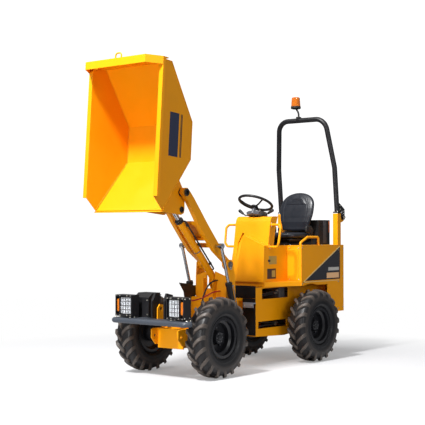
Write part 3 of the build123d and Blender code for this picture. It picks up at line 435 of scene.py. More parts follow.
navy_film = label_look("navy_film", (0.006, 0.014, 0.055))
night_film = label_look("black_film", (0.010, 0.010, 0.016))
cream_film = label_look("cream_film", (0.80, 0.58, 0.22))
pale_film = label_look("pale_film", (0.52, 0.50, 0.46))
olive_film = label_look("olive_film", (0.36, 0.27, 0.07))
orange_film = label_look("orange_film", (0.80, 0.16, 0.02))
print("finishes", len(bpy.data.materials))

# %% Finishes on the frame
worn_by = {
    yellow: "front_frame front_ear lift_arms skip skip_bracket console body_front body_side_left "
            "body_side_right deck rear_cover rear_frame operator_floor grab_rails deck_rails "
            "rops_posts tip_ram_mount tip_ram_barrel",
    rim_black: "rim_front_left rim_front_right rim_rear_left rim_rear_right",
    black: "front_axle rear_axle lift_ram_barrel_left lift_ram_barrel_right steer_ram_barrel "
           "front_cover hose_guard rops_hoop skip_rests head_lamps",
    slate: "bumper",
    step_grey: "front_step",
    chrome: "lift_ram_rod_left lift_ram_rod_right tip_ram_rod steer_ram_rod",
    steel: "front_pins skip_shaft",
    plastic: "vent_box steering_wheel",
    column_grey: "steering_column",
    iron: "engine_block",
    hose_black: "tip_hose",
}
for finish, names in worn_by.items():
    for name in names.split():
        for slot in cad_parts[name].material_slots:
            slot.material = finish
print("nodes dressed", sum(len(names.split()) for names in worn_by.values()))

# %% [markdown]
# ## The two free hoses
# A black hose comes out of the tower's face and drops into the front chassis, and a red
# sleeved one runs from the left head lamp back to the tower. Each is pushed on stiff and
# hangs free between its ends, so it is one smooth line through a few guide points, not
# bent pipe. A spline with the guide points as its control points gives just that.

# %% Free hoses
def free_hose(name, guide, radius, finish, node):
    """A smooth cord whose line is drawn by guide points, with a round section and closed ends."""
    curve = bpy.data.curves.new(name, "CURVE")
    curve.dimensions = "3D"
    line = curve.splines.new("NURBS")
    guide = (np.array(guide, float) + (0, JOINT, 0)) / 1000
    line.points.add(len(guide) - 1)
    line.points.foreach_set("co", np.column_stack([guide, np.ones(len(guide))]).ravel())
    line.order_u = 3
    line.use_endpoint_u = True
    line.resolution_u = 24
    curve.bevel_depth = radius / 1000
    curve.bevel_resolution = 4
    curve.use_fill_caps = True
    curve.materials.append(finish)
    hose = bpy.data.objects.new(name, curve)
    scene.collection.objects.link(hose)
    bare = curve.copy()
    bare.bevel_depth = 0
    probe = bpy.data.objects.new("probe", bare)
    line_mesh = bpy.data.meshes.new_from_object(probe)
    points = np.empty(len(line_mesh.vertices) * 3)
    line_mesh.vertices.foreach_get("co", points)
    bpy.data.objects.remove(probe)
    bpy.data.meshes.remove(line_mesh)
    bpy.data.curves.remove(bare)
    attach(hose, "front_chassis")
    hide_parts(node)


tower_guide = [(76, -330.3, 790), (76, -392, 790), (69, -468, 742), (64, -522, 640),
               (61, -548, 540), (61, -548, 448.3)]
lamp_guide = [(250, -1057.7, 600), (250, -999.7, 600), (196, -900, 640), (128, -720, 634),
              (108, -560, 650), (106, -425, 697), (106, -330.3, 697)]
free_hose("tower_hose_rubber", tower_guide, 7.0, hose_black, "tower_hose")
free_hose("lamp_hose_sleeve", lamp_guide, 6.0, red, "lamp_hose")

# %% [markdown]
# ## Tyres
# The tyre is a farm tread: nineteen slanted bars on each side, the left ones half a step
# ahead of the right ones, each bar starting at the middle line and running out over the
# shoulder. A real mould is cut this way: one smooth carcass and one outer surface of the
# bars. So every point of the net here is a mix of two cross-sections, the carcass where the
# bar isn't and the bar's crown where it is, and the net's columns are slanted with the bar
# so that its edges stay crisp.

# %% Tyres
CARCASS = np.array([
    (0, 317), (3, 317), (6, 316.9), (9, 316.8), (14, 316.5), (22, 316), (34, 315), (46, 313.5),
    (56, 311.5), (64, 309), (71, 305.5), (76, 301), (80, 296.5), (82.5, 291.5), (84.3, 286),
    (85.7, 280.5), (86.8, 275), (87.7, 269.5), (88.4, 264), (88.9, 258), (89.3, 251),
    (89.6, 243), (89.6, 235), (89, 227), (87.8, 219), (86, 211.5), (83.6, 204.5), (84.6, 201.5),
    (82.6, 199), (78.5, 192), (73.5, 185), (70, 181.5), (70.6, 178), (66, 174.5), (61.6, 172.6),
    (60.7, 168), (60.7, 161), (60.7, 152.6)], float)
CROWN = CARCASS.copy()
CROWN[2:19] = [
    (5, 329), (8, 336), (13, 337.8), (21, 337.8), (33, 337.4), (45, 336), (56, 333.4),
    (67, 330), (76, 326), (82, 322), (85.5, 317), (87, 311), (88, 303), (88.8, 293),
    (89.5, 283), (89.8, 273.5), (89.2, 265)]
BARS, COLUMNS = 19, 14             # tread bars on each half, and the net's columns to a bar
STEPS = np.array([0, .12, .24, .315, .345, .365, .385, .5, .615, .635, .655, .685, .76, .88])
RISE = np.array([0, 0, 0, 0.02, 0.16, 0.90, 1, 1, 1, 0.90, 0.16, 0.02, 0, 0])


def tread_half(side):
    """Half a tyre, from middle line to bead: carcass and crown mixed by each column's rise, the
    columns slanted as the bars. The second result is how much dust each point carries; the
    inner sidewall by the rim gets none and stays dark as painted shade."""
    k = np.arange(BARS * COLUMNS) + (COLUMNS // 2 if side < 0 else 0)
    col = k % COLUMNS
    spread = np.clip((CARCASS[:, 0] - 1) / 9, 0, 1)[:, None]
    wider = 1 + 0.16 * np.clip(CARCASS[:, 0] / 86, 0, 1)[:, None]
    sharp = 0.5 + (STEPS[col] - 0.5) * np.where(np.abs(STEPS[col] - 0.5) < 0.2, wider, 1.0)
    step = spread * sharp + (1 - spread) * col / COLUMNS
    x = np.minimum(np.maximum.accumulate(CARCASS[:, 0]), 86)[:, None]
    slant = (x - 43) * (1.08 - 0.0022 * x) / 330
    bar = k // COLUMNS + step - (0.5 if side < 0 else 0.0)
    turn = radians(5.83) + bar * radians(360 / BARS) - slant
    rise = RISE[col][None] * np.clip(np.arange(len(CARCASS)) / 2.0, 0, 1)[:, None]
    across, radius = (CARCASS[:, n, None] + (CROWN - CARCASS)[:, n, None] * rise for n in (0, 1))
    dust_and_shade = 0.05 + 0.20 * np.clip((285 - radius) / 12, 0, 1)
    dust_and_shade = dust_and_shade + 0.75 * rise * np.clip((radius - 262) / 30, 0, 1)
    # painted shade: inside a radius of 226 mm the dust falls to nothing, so the inner sidewall
    # stays dark
    dust_and_shade = dust_and_shade * np.clip((radius - 226) / 16, 0, 1)
    return np.stack([side * across, -radius * np.sin(turn), radius * np.cos(turn)], -1), dust_and_shade


def tyre_skin():
    """Both halves joined at the middle line, with the hollow inside that rests on the rim."""
    (left, left_dust_and_shade), (right, right_dust_and_shade) = tread_half(1), tread_half(-1)
    turn = np.arctan2(-left[0, :, 1], left[0, :, 2])
    inside = np.array([(-44, 152.6), (-46, 200), (-76, 238), (-60, 282), (0, 296), (60, 282),
                       (76, 238), (46, 200), (44, 152.6)])
    x, radius = inside[:, 0, None], inside[:, 1, None]
    liner = np.stack([x + 0 * turn, -radius * np.sin(turn), radius * np.cos(turn)], -1)
    rings = np.concatenate([left[::-1], right[1:], liner])
    return rings, np.concatenate([left_dust_and_shade[::-1], right_dust_and_shade[1:], 0 * liner[..., 0]])


tyre_look = look("tyre_rubber", (0.0052, 0.0054, 0.0072), 0.42, mottle=0.25, grain=0.7,
                 grain_size=0.0022, edge=0.0012, edge_light=0.15, dust=0.03, patch=0.05, shine=0.35)
tree = tyre_look.node_tree
surface = tree.nodes["Principled BSDF"]
rubber, skin_bump = (surface.inputs[name].links[0].from_socket for name in ("Base Color", "Normal"))
crown_dust_and_shade, wall_ring = (node(tree, "Attribute", attribute_name=name).outputs["Fac"]
                        for name in ("crown_dust_and_shade", "wall_ring"))
# dust and painted shade: a brown dust tint over the crowns and shoulders, none on the dark inner
# sidewall
dust_and_shade_share = node(tree, "Math", {0: crown_dust_and_shade, 1: 0.62}, operation="MULTIPLY")
bump = node(tree, "Bump", {"Strength": 0.9, "Distance": 0.003, "Height": wall_ring,
                           "Normal": skin_bump})
feed(tree, surface, {"Base Color": mixed(tree, dust_and_shade_share.outputs[0], rubber, (0.170, 0.136, 0.113, 1)),
                     "Normal": bump.outputs["Normal"]})

rings, crown = tyre_skin()
radius = np.hypot(rings[..., 1], rings[..., 2])
waves = (0.5 + 0.5 * np.cos((radius - 205) * 2 * pi / 9)) * np.clip((262 - radius) / 8, 0, 1)
for name, (x, y) in WHEELS.items():
    tread = skin(rings * (1 if x > 0 else -1, 1, 1) + (x, y, AXLE_Z), along=True)
    tyre = make(f"tyre_{name}_tread", [tread], tyre_look, f"wheel_{name}",
                angle=40, replaces=[f"tyre_{name}"])
    for attribute, values in (("crown_dust_and_shade", crown), ("wall_ring", waves)):
        layer = tyre.data.attributes.new(attribute, "FLOAT", "POINT")
        layer.data.foreach_set("value", values.ravel().astype(np.float32))
print("tyre net", rings.shape)

# %% [markdown]
# ## Wheel fittings
# Five studs carry the wheel: each shows a domed end in its nut. The rim has a valve and a
# dust cap, and the hub's middle is closed with a pressed cap and a ring of small screws.

# %% Wheel fittings
def wheel_fittings(x, y):
    """Stud ends, hub cap, cap screws and the valve, set out from the wheel's outer disc face."""
    out = 1 if x > 0 else -1

    def about_axle(depth, radius, turn):
        """The point at a depth outwards from the wheel's middle, turned from straight up."""
        return x + out * depth, y - radius * sin(turn), AXLE_Z + radius * cos(turn)

    stud = turned([(0, 0), (0, 5), (7, 5), (9, 3.6), (9.6, 0)], sides=10)
    studs = [about_axle(-15, 82, k * 2 * pi / 5) for k in range(5)]
    screws = [about_axle(22, 36, (k + 0.5) * pi / 3) for k in range(6)]
    cap = turned([(0, 0), (0, 26), (5, 26), (9, 22), (10.5, 10), (10.8, 0)],
                 (x + out * 22, y, AXLE_Z), (out, 0, 0), 28)
    valve = [about_axle(depth, radius, radians(142))
             for depth, radius in ((18, 118), (30, 115), (44, 109))]
    stem = skin(sweep(eased(valve, 1), circle(3.4, 10)))
    return [many(stud, studs, (out, 0, 0)), many(bolt(8, 4.5), screws, (out, 0, 0))], [cap, stem]


for name, (x, y) in WHEELS.items():
    bright, dull = wheel_fittings(x, y)
    make(f"wheel_{name}_studs", bright, steel, f"wheel_{name}")
    make(f"wheel_{name}_cap_and_valve", dull, rim_black, f"wheel_{name}")
print("wheel fittings on", len(WHEELS), "wheels")

# %% [markdown]
# ## Lamps
# Each head lamp sits in a steel guard frame: a bright dish behind a clear lens with moulded
# cross lines, and an amber turn lamp in the frame's outboard end. The dish is a very shallow
# bowl, so that what it mirrors changes from its middle to its rim.

# %% Lamps
def dish(low, high, y, depth):
    """A shallow bowl in a rectangle: its depth falls off with the square of the distance from
    its middle."""
    u, v = np.meshgrid(np.linspace(-1, 1, 25), np.linspace(-1, 1, 25), indexing="ij")
    x = low[0] + (high[0] - low[0]) * (u + 1) / 2
    z = low[1] + (high[1] - low[1]) * (v + 1) / 2
    front = np.stack([x, y + depth * (1 - np.clip(u ** 2 + v ** 2, 0, 1)), z], -1).reshape(-1, 3)
    return front, net(25, 25, around=False)


def bars(places, corner, edge, steps=3):
    """Flat bars with round corners, each between a low and a high corner, facing ahead."""
    return [pillow(low, high, corner, edge, axis=1, steps=steps) for low, high in places]


lens = pillow((214, -1137, 530), (332, -1132.5, 666), 8, 1.5, axis=1)
lines = bars([*[((x - 1.6, -1139.6, 534), (x + 1.6, -1136.5, 662)) for x in (244, 273, 302)],
              *[((218, -1139.8, z - 1.6), (328, -1136.7, z + 1.6)) for z in (564, 598, 632)]],
             0.9, 0.6)
lens_frame = bars([((210, -1138, z), (336, -1130, z + 7)) for z in (524, 665)]
                  + [((x, -1138, 528), (x + 7, -1130, 668)) for x in (208, 331)], 2, 1)
make("head_lamp_dishes", pair(dish((215, 531), (331, 665), -1135.2, 0.4)), mirror_dish,
     "front_chassis")
make("head_lamp_lenses", pair(lens), clear, "front_chassis")
make("head_lamp_lines", pair(*lines, *lens_frame), plastic, "front_chassis")
turn_lens = pillow((340, -1140, 545), (368.5, -1071, 651), 9, 5, axis=1)
flutes = bars([((341.5, -1142.4, z - 2), (367, -1139.4, z + 2)) for z in np.arange(554, 646, 8)],
              1.5, 1.2)
make("turn_lamp_lenses", pair(turn_lens, *flutes), amber, "front_chassis",
     replaces=["turn_lamps"])
front_bolts = [(x, -1150, z) for x in (206, 246, 326, 368) for z in (515, 681)]
side_bolts = [(380, y, z) for y in (-1136, -1076) for z in (520, 676)]
shelf_bolts = [(x, y, 496) for x in (228, 392) for y in (-1128, -1078)]
bolts("lamp_guard_bolts", "front_chassis", (9, 5, front_bolts, FRONT), (9, 5, side_bolts, LEFT))
bolts("lamp_shelf_bolts", "front_chassis", (12, 7, shelf_bolts, UP))
print("lamps dressed with", 2 * len(flutes), "flutes")

# %% [markdown]
# ## Welds, bolts and nipples of the front chassis
# The tower, nose and shelf are plates welded at right angles, and each inside corner shows
# its bead. The pins turn in bushes that want grease, so each pin's head has a nipple, and
# a keeper plate with one bolt stops the pin from walking out.

# %% Front chassis
def nipple(place, ahead):
    """A grease nipple: a hexagon foot, a waist and a small ball."""
    profile = [(0, 0), (0, 4.5), (4, 4.5), (4.2, 2.4), (8, 2.4), (9, 3.1), (11, 3.0), (12.5, 1.6),
               (12.6, 0)]
    return turned(profile, place, ahead, 10)


def beads(paths, radius=2.6, ripple=4.5):
    """Weld beads along several paths."""
    return [bead(path, radius, ripple) for path in paths]


paired_welds = [
    *beads([[(52, -331, 641), (52, -331, 800)], [(60, -331, 641), (60, -331, 800)],
            [(141, -876, 262), (141, -876, 394)], [(141, -874, 397), (141, -792, 401)],
            [(62, -1034, 467), (62, -942, 467)], [(100, -1126, 467), (100, -1128, 448)]]),
    bead([(173.5, -560, 242), (173.5, -240, 302)], 2.0),
    bead([(36, -206, 700), (36, -206, 790)], 2.2)]
cross_welds = beads([[(-160, -397, 641.5), (160, -397, 641.5)],
                     [(-160, -386, 449), (160, -386, 449)],
                     *[[(x, -330, 642), (x, -330, 826)] for x in (-161, 161)],
                     *[[(x, -398, 628), (x, -398, 450)] for x in (-160, 160)]])
make("front_welds", [*cross_welds, *pair(*paired_welds)], yellow, "front_chassis",
     angle=60)
ARM_PIN = (-275, 928)              # (Y, Z) of the lift arms' pivot on the tower
pin_y, pin_z = ARM_PIN
keeper = pillow((182, pin_y - 12, pin_z - 44), (186, pin_y + 12, pin_z - 16), 5, 1, axis=0, steps=4)
make("arm_pin_keepers", pair(keeper, nipple((182, pin_y, pin_z), LEFT),
                             nipple((250, -262, 462), LEFT),
                             many(bolt(11, 6), [(186, pin_y, pin_z - 36)], LEFT)),
     zinc, "front_chassis")
cover_bolts = [(x, -1012, z) for x in (-276, -139) for z in (520, 640)]
stay_bolts = [*[(x, y, 466) for x in (72, 88) for y in (-1096, -1070)],
              *[(80, y, 466) for y in (-760, -725)]]
wing_bolts = [(-177, -388, z) for z in (735, 665)]
bolts("front_cover_bolts", "front_chassis", (11, 6, cover_bolts, FRONT), both_sides=False)
bolts("bumper_bolts", "front_chassis", (14, 8, stay_bolts, UP))
bolts("hose_guard_bolts", "front_chassis", (11, 6, wing_bolts, (-1, 0, 0)), both_sides=False)
print("front welds", len(cross_welds) + 2 * len(paired_welds))

# %% [markdown]
# ## Lift arms, bracket and cylinders
# The cross box is welded between the arms. The pin bosses are machined rings, left black.
# Each cylinder has a gland nut and a wiper ring; the lift and tip cylinders also have two
# ports with hose tails and a steel pipe that brings the oil to the rod end.

# %% Lift arms
def mix(a, b, t):
    """The point at a share t of the way from a to b."""
    return tuple(np.asarray(a, float) * (1 - t) + np.asarray(b, float) * t)


skip_y, skip_z = -856, 1551       # the skip's pin at the arms' upper end
arm_welds = beads([[(117.5, -655, 1308), (117.5, -604, 1312), (117.5, -478, 1174),
                    (117.5, -508, 1142)], [(117.5, -454, 1116), (117.5, -420, 1122),
                                           (117.5, -404, 1092)]])
make("arm_welds", pair(*arm_welds), yellow, "lift_arms", angle=60)
pivot_ring = turned([(0, 22.6), (0, 34), (4, 34), (5.5, 32), (5.5, 22.6), (0, 22.6)], sides=28)
eye_boss = turned([(0, 0), (0, 25), (2.5, 25), (4, 22), (4, 0)], (150.2, -460, 1095), LEFT, 28)
make("arm_bosses", pair(many(pivot_ring, [(113.5, *ARM_PIN)], (-1, 0, 0)), eye_boss), black,
     "lift_arms")
pin_cap = turned([(0, 0), (0, 30), (3, 30), (5, 27), (5, 0)], (168, skip_y, skip_z), LEFT, 28)
cap_bolts = [(173, skip_y + 17 * s, skip_z + 8 * s) for s in (1, -1)]
make("skip_pin_caps", pair(pin_cap, nipple((173, skip_y, skip_z), LEFT),
                           many(bolt(9, 5), cap_bolts, LEFT)),
     black, "skip_carrier")


def cylinder_fittings(foot, eye, x, radius, length, rod_radius, port):
    """Gland nut, wiper, two stepped ports, the oil pipe between them and the band that holds it,
    on a barrel whose line runs from foot to eye. The ports look along port."""
    foot, eye = np.array([x, *foot], float), np.array([x, *eye], float)
    ahead = (eye - foot) / np.linalg.norm(eye - foot)
    side = np.array(port, float) - np.dot(port, ahead) * ahead
    side /= np.linalg.norm(side)
    bore = rod_radius + 0.6
    mouth = foot + ahead * length
    nut = turned([(-27, radius + 3.1), (-26, radius + 5), (-3, radius + 5), (0, radius + 3),
                  (1, bore + 4.4), (3, bore + 4.4), (4, bore + 0.4), (0.3, bore),
                  (0.3, radius + 3.1)], mouth, ahead, 32, hollow=True)
    wiper = turned([(3.2, bore + 4), (5, bore + 3), (6, bore + 0.6), (3.2, bore)], mouth, ahead, 32,
                   hollow=True)
    low, high = foot + ahead * 52, foot + ahead * (length - 42)
    block = turned([(0, 0), (0, 9), (8, 9), (8, 7), (16, 7), (16, 6), (24, 5.5), (24, 0)],
                  sides=12)
    ports = many(block, [low + side * (radius - 2), high + side * (radius - 2)], side)
    start, run = side * (radius + 8), side * (radius + 15)
    pipe = rod(eased([low + start + ahead * 4, low + run + ahead * 16, mix(low, high, 0.5) + run,
                      high + run - ahead * 16, high + start - ahead * 4], 2), 4.0, 10)
    band = turned([(-5, radius + 0.3), (-5, radius + 1.6), (5, radius + 1.6), (5, radius + 0.3)],
                  foot + ahead * length * 0.5, ahead, 32, hollow=True)
    return [nut, wiper], [ports, pipe, band]


LIFT_LINE = ((-262, 462), (-460, 1095))      # a lift cylinder's foot and eye in (Y, Z)
TIP_LINE = ((-269.6, 783.07), (-850.6, 1406.07))
STEER_LINE = ((170, 318), (-155, 318))
for side, sign in (("left", 1), ("right", -1)):
    glands, pipes = cylinder_fittings(*LIFT_LINE, sign * 222, 27, 328, 14, (sign * 0.35, 1, 0.3))
    make(f"lift_gland_{side}", glands, black, f"lift_barrel_{side}")
    make(f"lift_pipe_{side}", pipes, steel, f"lift_barrel_{side}")
glands, pipes = cylinder_fittings(*TIP_LINE, 0, 32, 735, 18, (-0.6, 0.6, 0.5))
make("tip_gland", glands, black, "tip_barrel")
make("tip_ports", pipes, steel, "tip_barrel")
glands, _ = cylinder_fittings(*STEER_LINE, -120, 20, 215, 10, (0, 0, -1))
make("steer_gland", glands, steel, "steer_barrel")
print("cylinder fittings on 4 cylinders")

# %% [markdown]
# ## The skip
# The skip is welded from two flat sides and one folded sheet, so a bead runs round the
# outside of each side where the folds meet it. Its badge places stay blank: one dark blue
# film and a thin stripe under it on each side. The skip stands tipped by 86 degrees, so
# these pieces are drawn on the level skip and tipped with it.

# %% Skip
SKIP_PIN = (97, -645)              # the skip's pin in the level skip's own (u, w)


def tipped(points):
    """Points of the level skip (x, u rearwards, w up) turned 86 degrees about the skip's pin."""
    points = np.asarray(points, float)
    c, s = cos(radians(86)), sin(radians(86))
    du, dw = points[..., 1] - SKIP_PIN[0], points[..., 2] - SKIP_PIN[1]
    return np.stack([points[..., 0], skip_y + du * c - dw * s, skip_z + du * s + dw * c], -1)


def skip_side(u, w, out=0.0):
    """A point of the skip's outer left side, which leans in by 20 mm over its depth of 450."""
    u, w = np.broadcast_arrays(np.asarray(u, float), np.asarray(w, float))
    return np.stack([374 + 20 * w / 450 + out, u, w], -1)


def film(outline, ahead, thick=0.6):
    """A thin film over a convex outline: its foot is sunk a little, its top raised along ahead."""
    outline = np.asarray(outline, float)
    return skin(np.stack([outline - 0.2 * np.asarray(ahead), outline + thick * np.asarray(ahead)]))


def patch(u0, u1, w0, w1):
    """A rectangular film on the skip's side."""
    points, *faces = film(skip_side([u0, u1, u1, u0], [w0, w0, w1, w1]), (1, 0, -0.044))
    return (tipped(points), *faces)


seam = skip_side([-100, 341, 651, 1095, 1095], [-118, -450, -450, -150, -34], 0.6)
skip_welds = [bead(tipped(seam), 2.8, 5.0),
              bead(tipped([(103.6, -38, -164.5), (103.6, 330, -442)]), 2.4),
              bead(tipped(skip_side([8, 1090], [-5.5, -5.5], 1.5)), 2.2)]
folds = skip_side([-86, 344, 648, 1087], [-110, -441.5, -441.5, -145], -8.6)
inner_welds = [bead(tipped(folds), 3.0, 6.0),
               bead(tipped(skip_side([1089, 1089], [-140, 0], -6)), 3.0)]
make("skip_welds", pair(*skip_welds), yellow, "skip", angle=60)
make("skip_badge_films", pair(patch(338, 692, -276, -158)), navy_film, "skip")
make("skip_badge_stripes", pair(patch(340, 690, -304, -297), patch(340, 690, -320, -309)),
     night_film, "skip")
make("skip_inner_welds", pair(*inner_welds), yellow, "skip", angle=60)
eye_ring = turned([(0, 16), (0, 27), (5, 27), (6, 25), (6, 16), (0, 16)], sides=26)
pin_ring = turned([(0, 22.5), (0, 36), (5, 36), (6, 34), (6, 22.5), (0, 22.5)], sides=30)
make("bracket_bosses", pair(many(eye_ring, tipped([(103.2, -47.2, -660.5)]), LEFT),
                            many(pin_ring, tipped([(103.2, *SKIP_PIN)]), LEFT)),
     black, "skip")
print("skip welds", len(skip_welds) + len(inner_welds))

# %% [markdown]
# ## The driver's controls
# The hood under the steering wheel is a grey moulding with a gauge, an hour counter, a row
# of warning lamps and the key. A lever stands on each side of it in a rubber boot, with a
# soft grip that thickens towards its end so that a gloved hand finds it. The steering
# wheel's rim wears a sleeve whose inner side has 18 finger waves.

# %% Controls
panel_up = np.array([0, 0.147, 0.989])


def on_panel(x, y):
    """A point on the hood's upper face, which falls 14 mm towards the driver over 94 mm."""
    return np.array([x, y, 1416 - (y - 330) * 14 / 94], float)


gauges = [on_panel(x, 384) for x in (-44, 44)]
bezel = [(0, 0), (0, 19), (4, 19), (5, 17.5), (5, 15), (3, 14.5), (3, 0)]
face = [(2.6, 0), (2.6, 14.4), (3.4, 14.4), (3.4, 0)]
make("gauge_bezels", [turned(bezel, place, panel_up, 30) for place in gauges], plastic)
make("gauge_faces", [turned(face, place, panel_up, 30) for place in gauges], pale_film)
needles = [rod([on_panel(x, y) + panel_up * 3.9 for x, y in ((left, 384), (left + 7, 393))], 0.7, 6)
           for left in (-44, 44)]
lamp_dots = [turned([(0, 0), (0, 4.2), (1.6, 4.2), (2.8, 2.6), (3.1, 0)], on_panel(x, 352),
                    panel_up, 12) for x in (-48, -34, -20)]
make("warning_lamps", [*needles, *lamp_dots], red)
key = [turned([(0, 0), (0, 12), (5, 12), (6.5, 10.5), (6.5, 5), (9, 5), (9, 0)], on_panel(40, 352),
              panel_up, 24),
       pillow((36.6, 344, 1418), (43.4, 362, 1436), 2, 1.2, axis=0, steps=3)]
make("key_switch", key, zinc)
make("hour_counter", [pillow((-15, 376, 1404), (15, 392, 1411.6), 2, 1, steps=3)], night_film)

boot_at = (70, 352, 1378)
elbow, lever_end = np.array([118.0, 334, 1373]), np.array([200.0, 350, 1424])
stick = eased([boot_at, (100, 342, 1374), elbow, mix(elbow, lever_end, 0.6)], 2)
grip = turned([(0, 6.5), (1, 9.5), (8, 11.5), (26, 13.0), (44, 15.0), (58, 15.0), (65, 12), (69, 7),
               (70, 0)], mix(elbow, lever_end, 0.30), lever_end - elbow, 24)
pleat = np.linspace(0, 1, 25)
boot = turned(np.stack([pleat * 26, 17 - 8.5 * pleat + 1.6 * np.cos(pleat * 8 * pi)], 1), boot_at,
              (1, -0.25, 0), 24)
make("lever_sticks", pair(rod(stick, 6.0, 12)), black, replaces=["control_levers"])
make("lever_grips", pair(grip, boot), plastic)

wheel_axis = np.array([0, sin(radians(24)), cos(radians(24))])
wheel_foot = np.array([0, 322, 1443])
cap = turned([(-0.5, 0), (-0.5, 29), (3, 29), (6, 26), (7.5, 18), (8, 0)],
             wheel_foot + wheel_axis * 17, wheel_axis, 36)
a = np.arange(216)[:, None] * 2 * pi / 216
b = np.arange(14)[None] * 2 * pi / 14
thick = 12.7 + 0.8 * np.cos(18 * a) * np.clip(np.cos(b + pi), 0, 1)
in_plane = np.stack([np.cos(a), np.sin(a) * wheel_axis[2], -np.sin(a) * wheel_axis[1]], -1)
sleeve = (wheel_foot + wheel_axis * 52 + in_plane * (158 + thick * np.cos(b))[..., None]
          + wheel_axis * (thick * np.sin(b))[..., None])
make("steering_wheel_cap", [cap, skin(sleeve, along=True)], plastic, "steering_wheel")
print("levers end at", lever_end)

# %% [markdown]
# ## The seat
# The seat is a moulded vinyl pan seat on a sprung, pleated base. Its back is a closed
# form lofted from rounded outlines that widen to the shoulders and close in a round top;
# its front face is dished between two bolsters. The sewn lines are pressed into it: a
# piped seam inside each bolster, one across below the head panel, and fine ribs in the panel.

# %% Seat cushions
def round_outline(half_x, half_y, power, count):
    """Points round a soft rectangle: a circle's sine and cosine raised to two over the power."""
    a = np.arange(count) * 2 * pi / count
    c, s = np.cos(a), np.sin(a)
    x = np.sign(c) * np.abs(c) ** (2 / power)
    y = np.sign(s) * np.abs(s) ** (2 / power)
    return half_x[:, None] * x, half_y[:, None] * y


def groove(distance, width):
    """A pressed line: one on the line, falling smoothly to nothing over its width."""
    return np.exp(-(distance / width) ** 2)


def seat_back_form():
    """Rounded outlines stacked up the back, the front dished and pressed with seams and ribs."""
    v = np.concatenate([np.linspace(0, 0.06, 8)[:-1], np.linspace(0.06, 0.92, 100)[:-1],
                        1 - 0.08 * np.linspace(1, 0, 26) ** 2])
    waist = 150 + 44 * np.sin(np.clip(v / 0.56, 0, 1) * pi / 2) ** 1.6
    half_x = waist * np.clip(1 - np.clip(1 - v / 0.07, 0, 1) ** 2.6, 0, 1) ** 0.5
    top = np.clip((v - 0.56) / 0.44, 0, 1)
    half_x = half_x * np.sqrt(np.clip(1 - top ** 2.9, 0, 1))
    half_y = np.interp(v, [0, .02, .06, .4, .8, .9, 1], [14, 28, 38, 43, 37, 31, 22])
    half_y = half_y * np.where(v > 0.86, np.sqrt(np.clip(1 - ((v - 0.86) / 0.14) ** 2.4, 0, 1)), 1)
    x, d = round_outline(half_x, half_y, 2.35, 150)
    z = np.broadcast_to((1219 + 385 * v)[:, None], x.shape)
    share = x / np.maximum(half_x[:, None], 1)
    front = np.clip(-d / np.maximum(half_y[:, None], 1), 0, 1) ** 0.6
    fade = np.clip(v / 0.12, 0, 1)[:, None] * np.clip((0.98 - v) / 0.14, 0, 1)[:, None]
    dishing = np.interp(v, [0, .35, .7, 1], [0.2, 1, 0.6, 0.1])[:, None]
    seam = groove((np.abs(share) - 0.70) * 190, 3.2)
    piping = groove((np.abs(share) - 0.745) * 190, 3.5)
    push = fade * (13 * (1 - share ** 2) * dishing + 3.6 * seam - 2.0 * piping)
    panel_edge = np.abs(x) - np.interp(z, [1488, 1496, 1540, 1556], [104, 112, 82, 58])
    inside = (np.clip(-panel_edge / 7, 0, 1) * np.clip((z - 1488) / 7, 0, 1)
              * np.clip((1560 - z) / 7, 0, 1))
    push = push - 6.0 * inside
    ribs = np.clip(np.sin((z - 1504) * 2 * pi / 10.0), 0, 1) * np.clip((66 - np.abs(x)) / 5, 0, 1)
    push = push + 3.0 * ribs * (z > 1504) * (z < 1544)
    middle = np.interp(v, [0, .25, .6, 1], [1012, 1010, 1038, 1082])[:, None]
    return np.stack([x, middle + d + front * push, z], -1)


def seat_cushion_form():
    """A soft slab: its outline shrinks towards top and bottom, and its top is dished."""
    s = np.linspace(-1, 1, 71)
    bulge = np.clip(1 - np.abs(s) ** 3.0, 0, 1) ** (1 / 2.4)
    x, y = round_outline(200 * bulge, 177 * bulge, 3.6, 150)
    z = np.broadcast_to((1182 + 36 * np.sign(s) * np.abs(s) ** 0.85)[:, None], x.shape)
    top = np.clip(s, 0, 1)[:, None] ** 0.7
    dip = 9 * np.clip(1 - (x / 150) ** 2, 0, 1) * np.clip(1 - ((y - 20) / 160) ** 2, 0, 1)
    piping = 2.2 * groove(s - 0.42, 0.045)[:, None]
    reach = np.hypot(x, y) + 1e-6
    seam = 3.2 * (groove(np.abs(x) - 118, 3.5) + groove(y + 96, 3.5) * (np.abs(x) < 118)) * top
    wider = 1 + piping / reach
    return np.stack([x * wider, y * wider + 832.5, z - (dip + seam) * top], -1)


vinyl = look("seat_vinyl", (0.012, 0.0140, 0.020), 0.36, coat=0.05, mottle=0.10, grain=0.45,
             grain_size=0.0018, patch=0.04, dust=0.02, shine=0.4)
back = make("seat_back_cushion", [skin(seat_back_form())], vinyl, angle=55,
            replaces=["seat_back"])
pan = make("seat_pan_cushion", [skin(seat_cushion_form())], vinyl, angle=55,
           replaces=["seat_cushion"])
print("seat back and pan", back.dimensions[:], pan.dimensions[:])

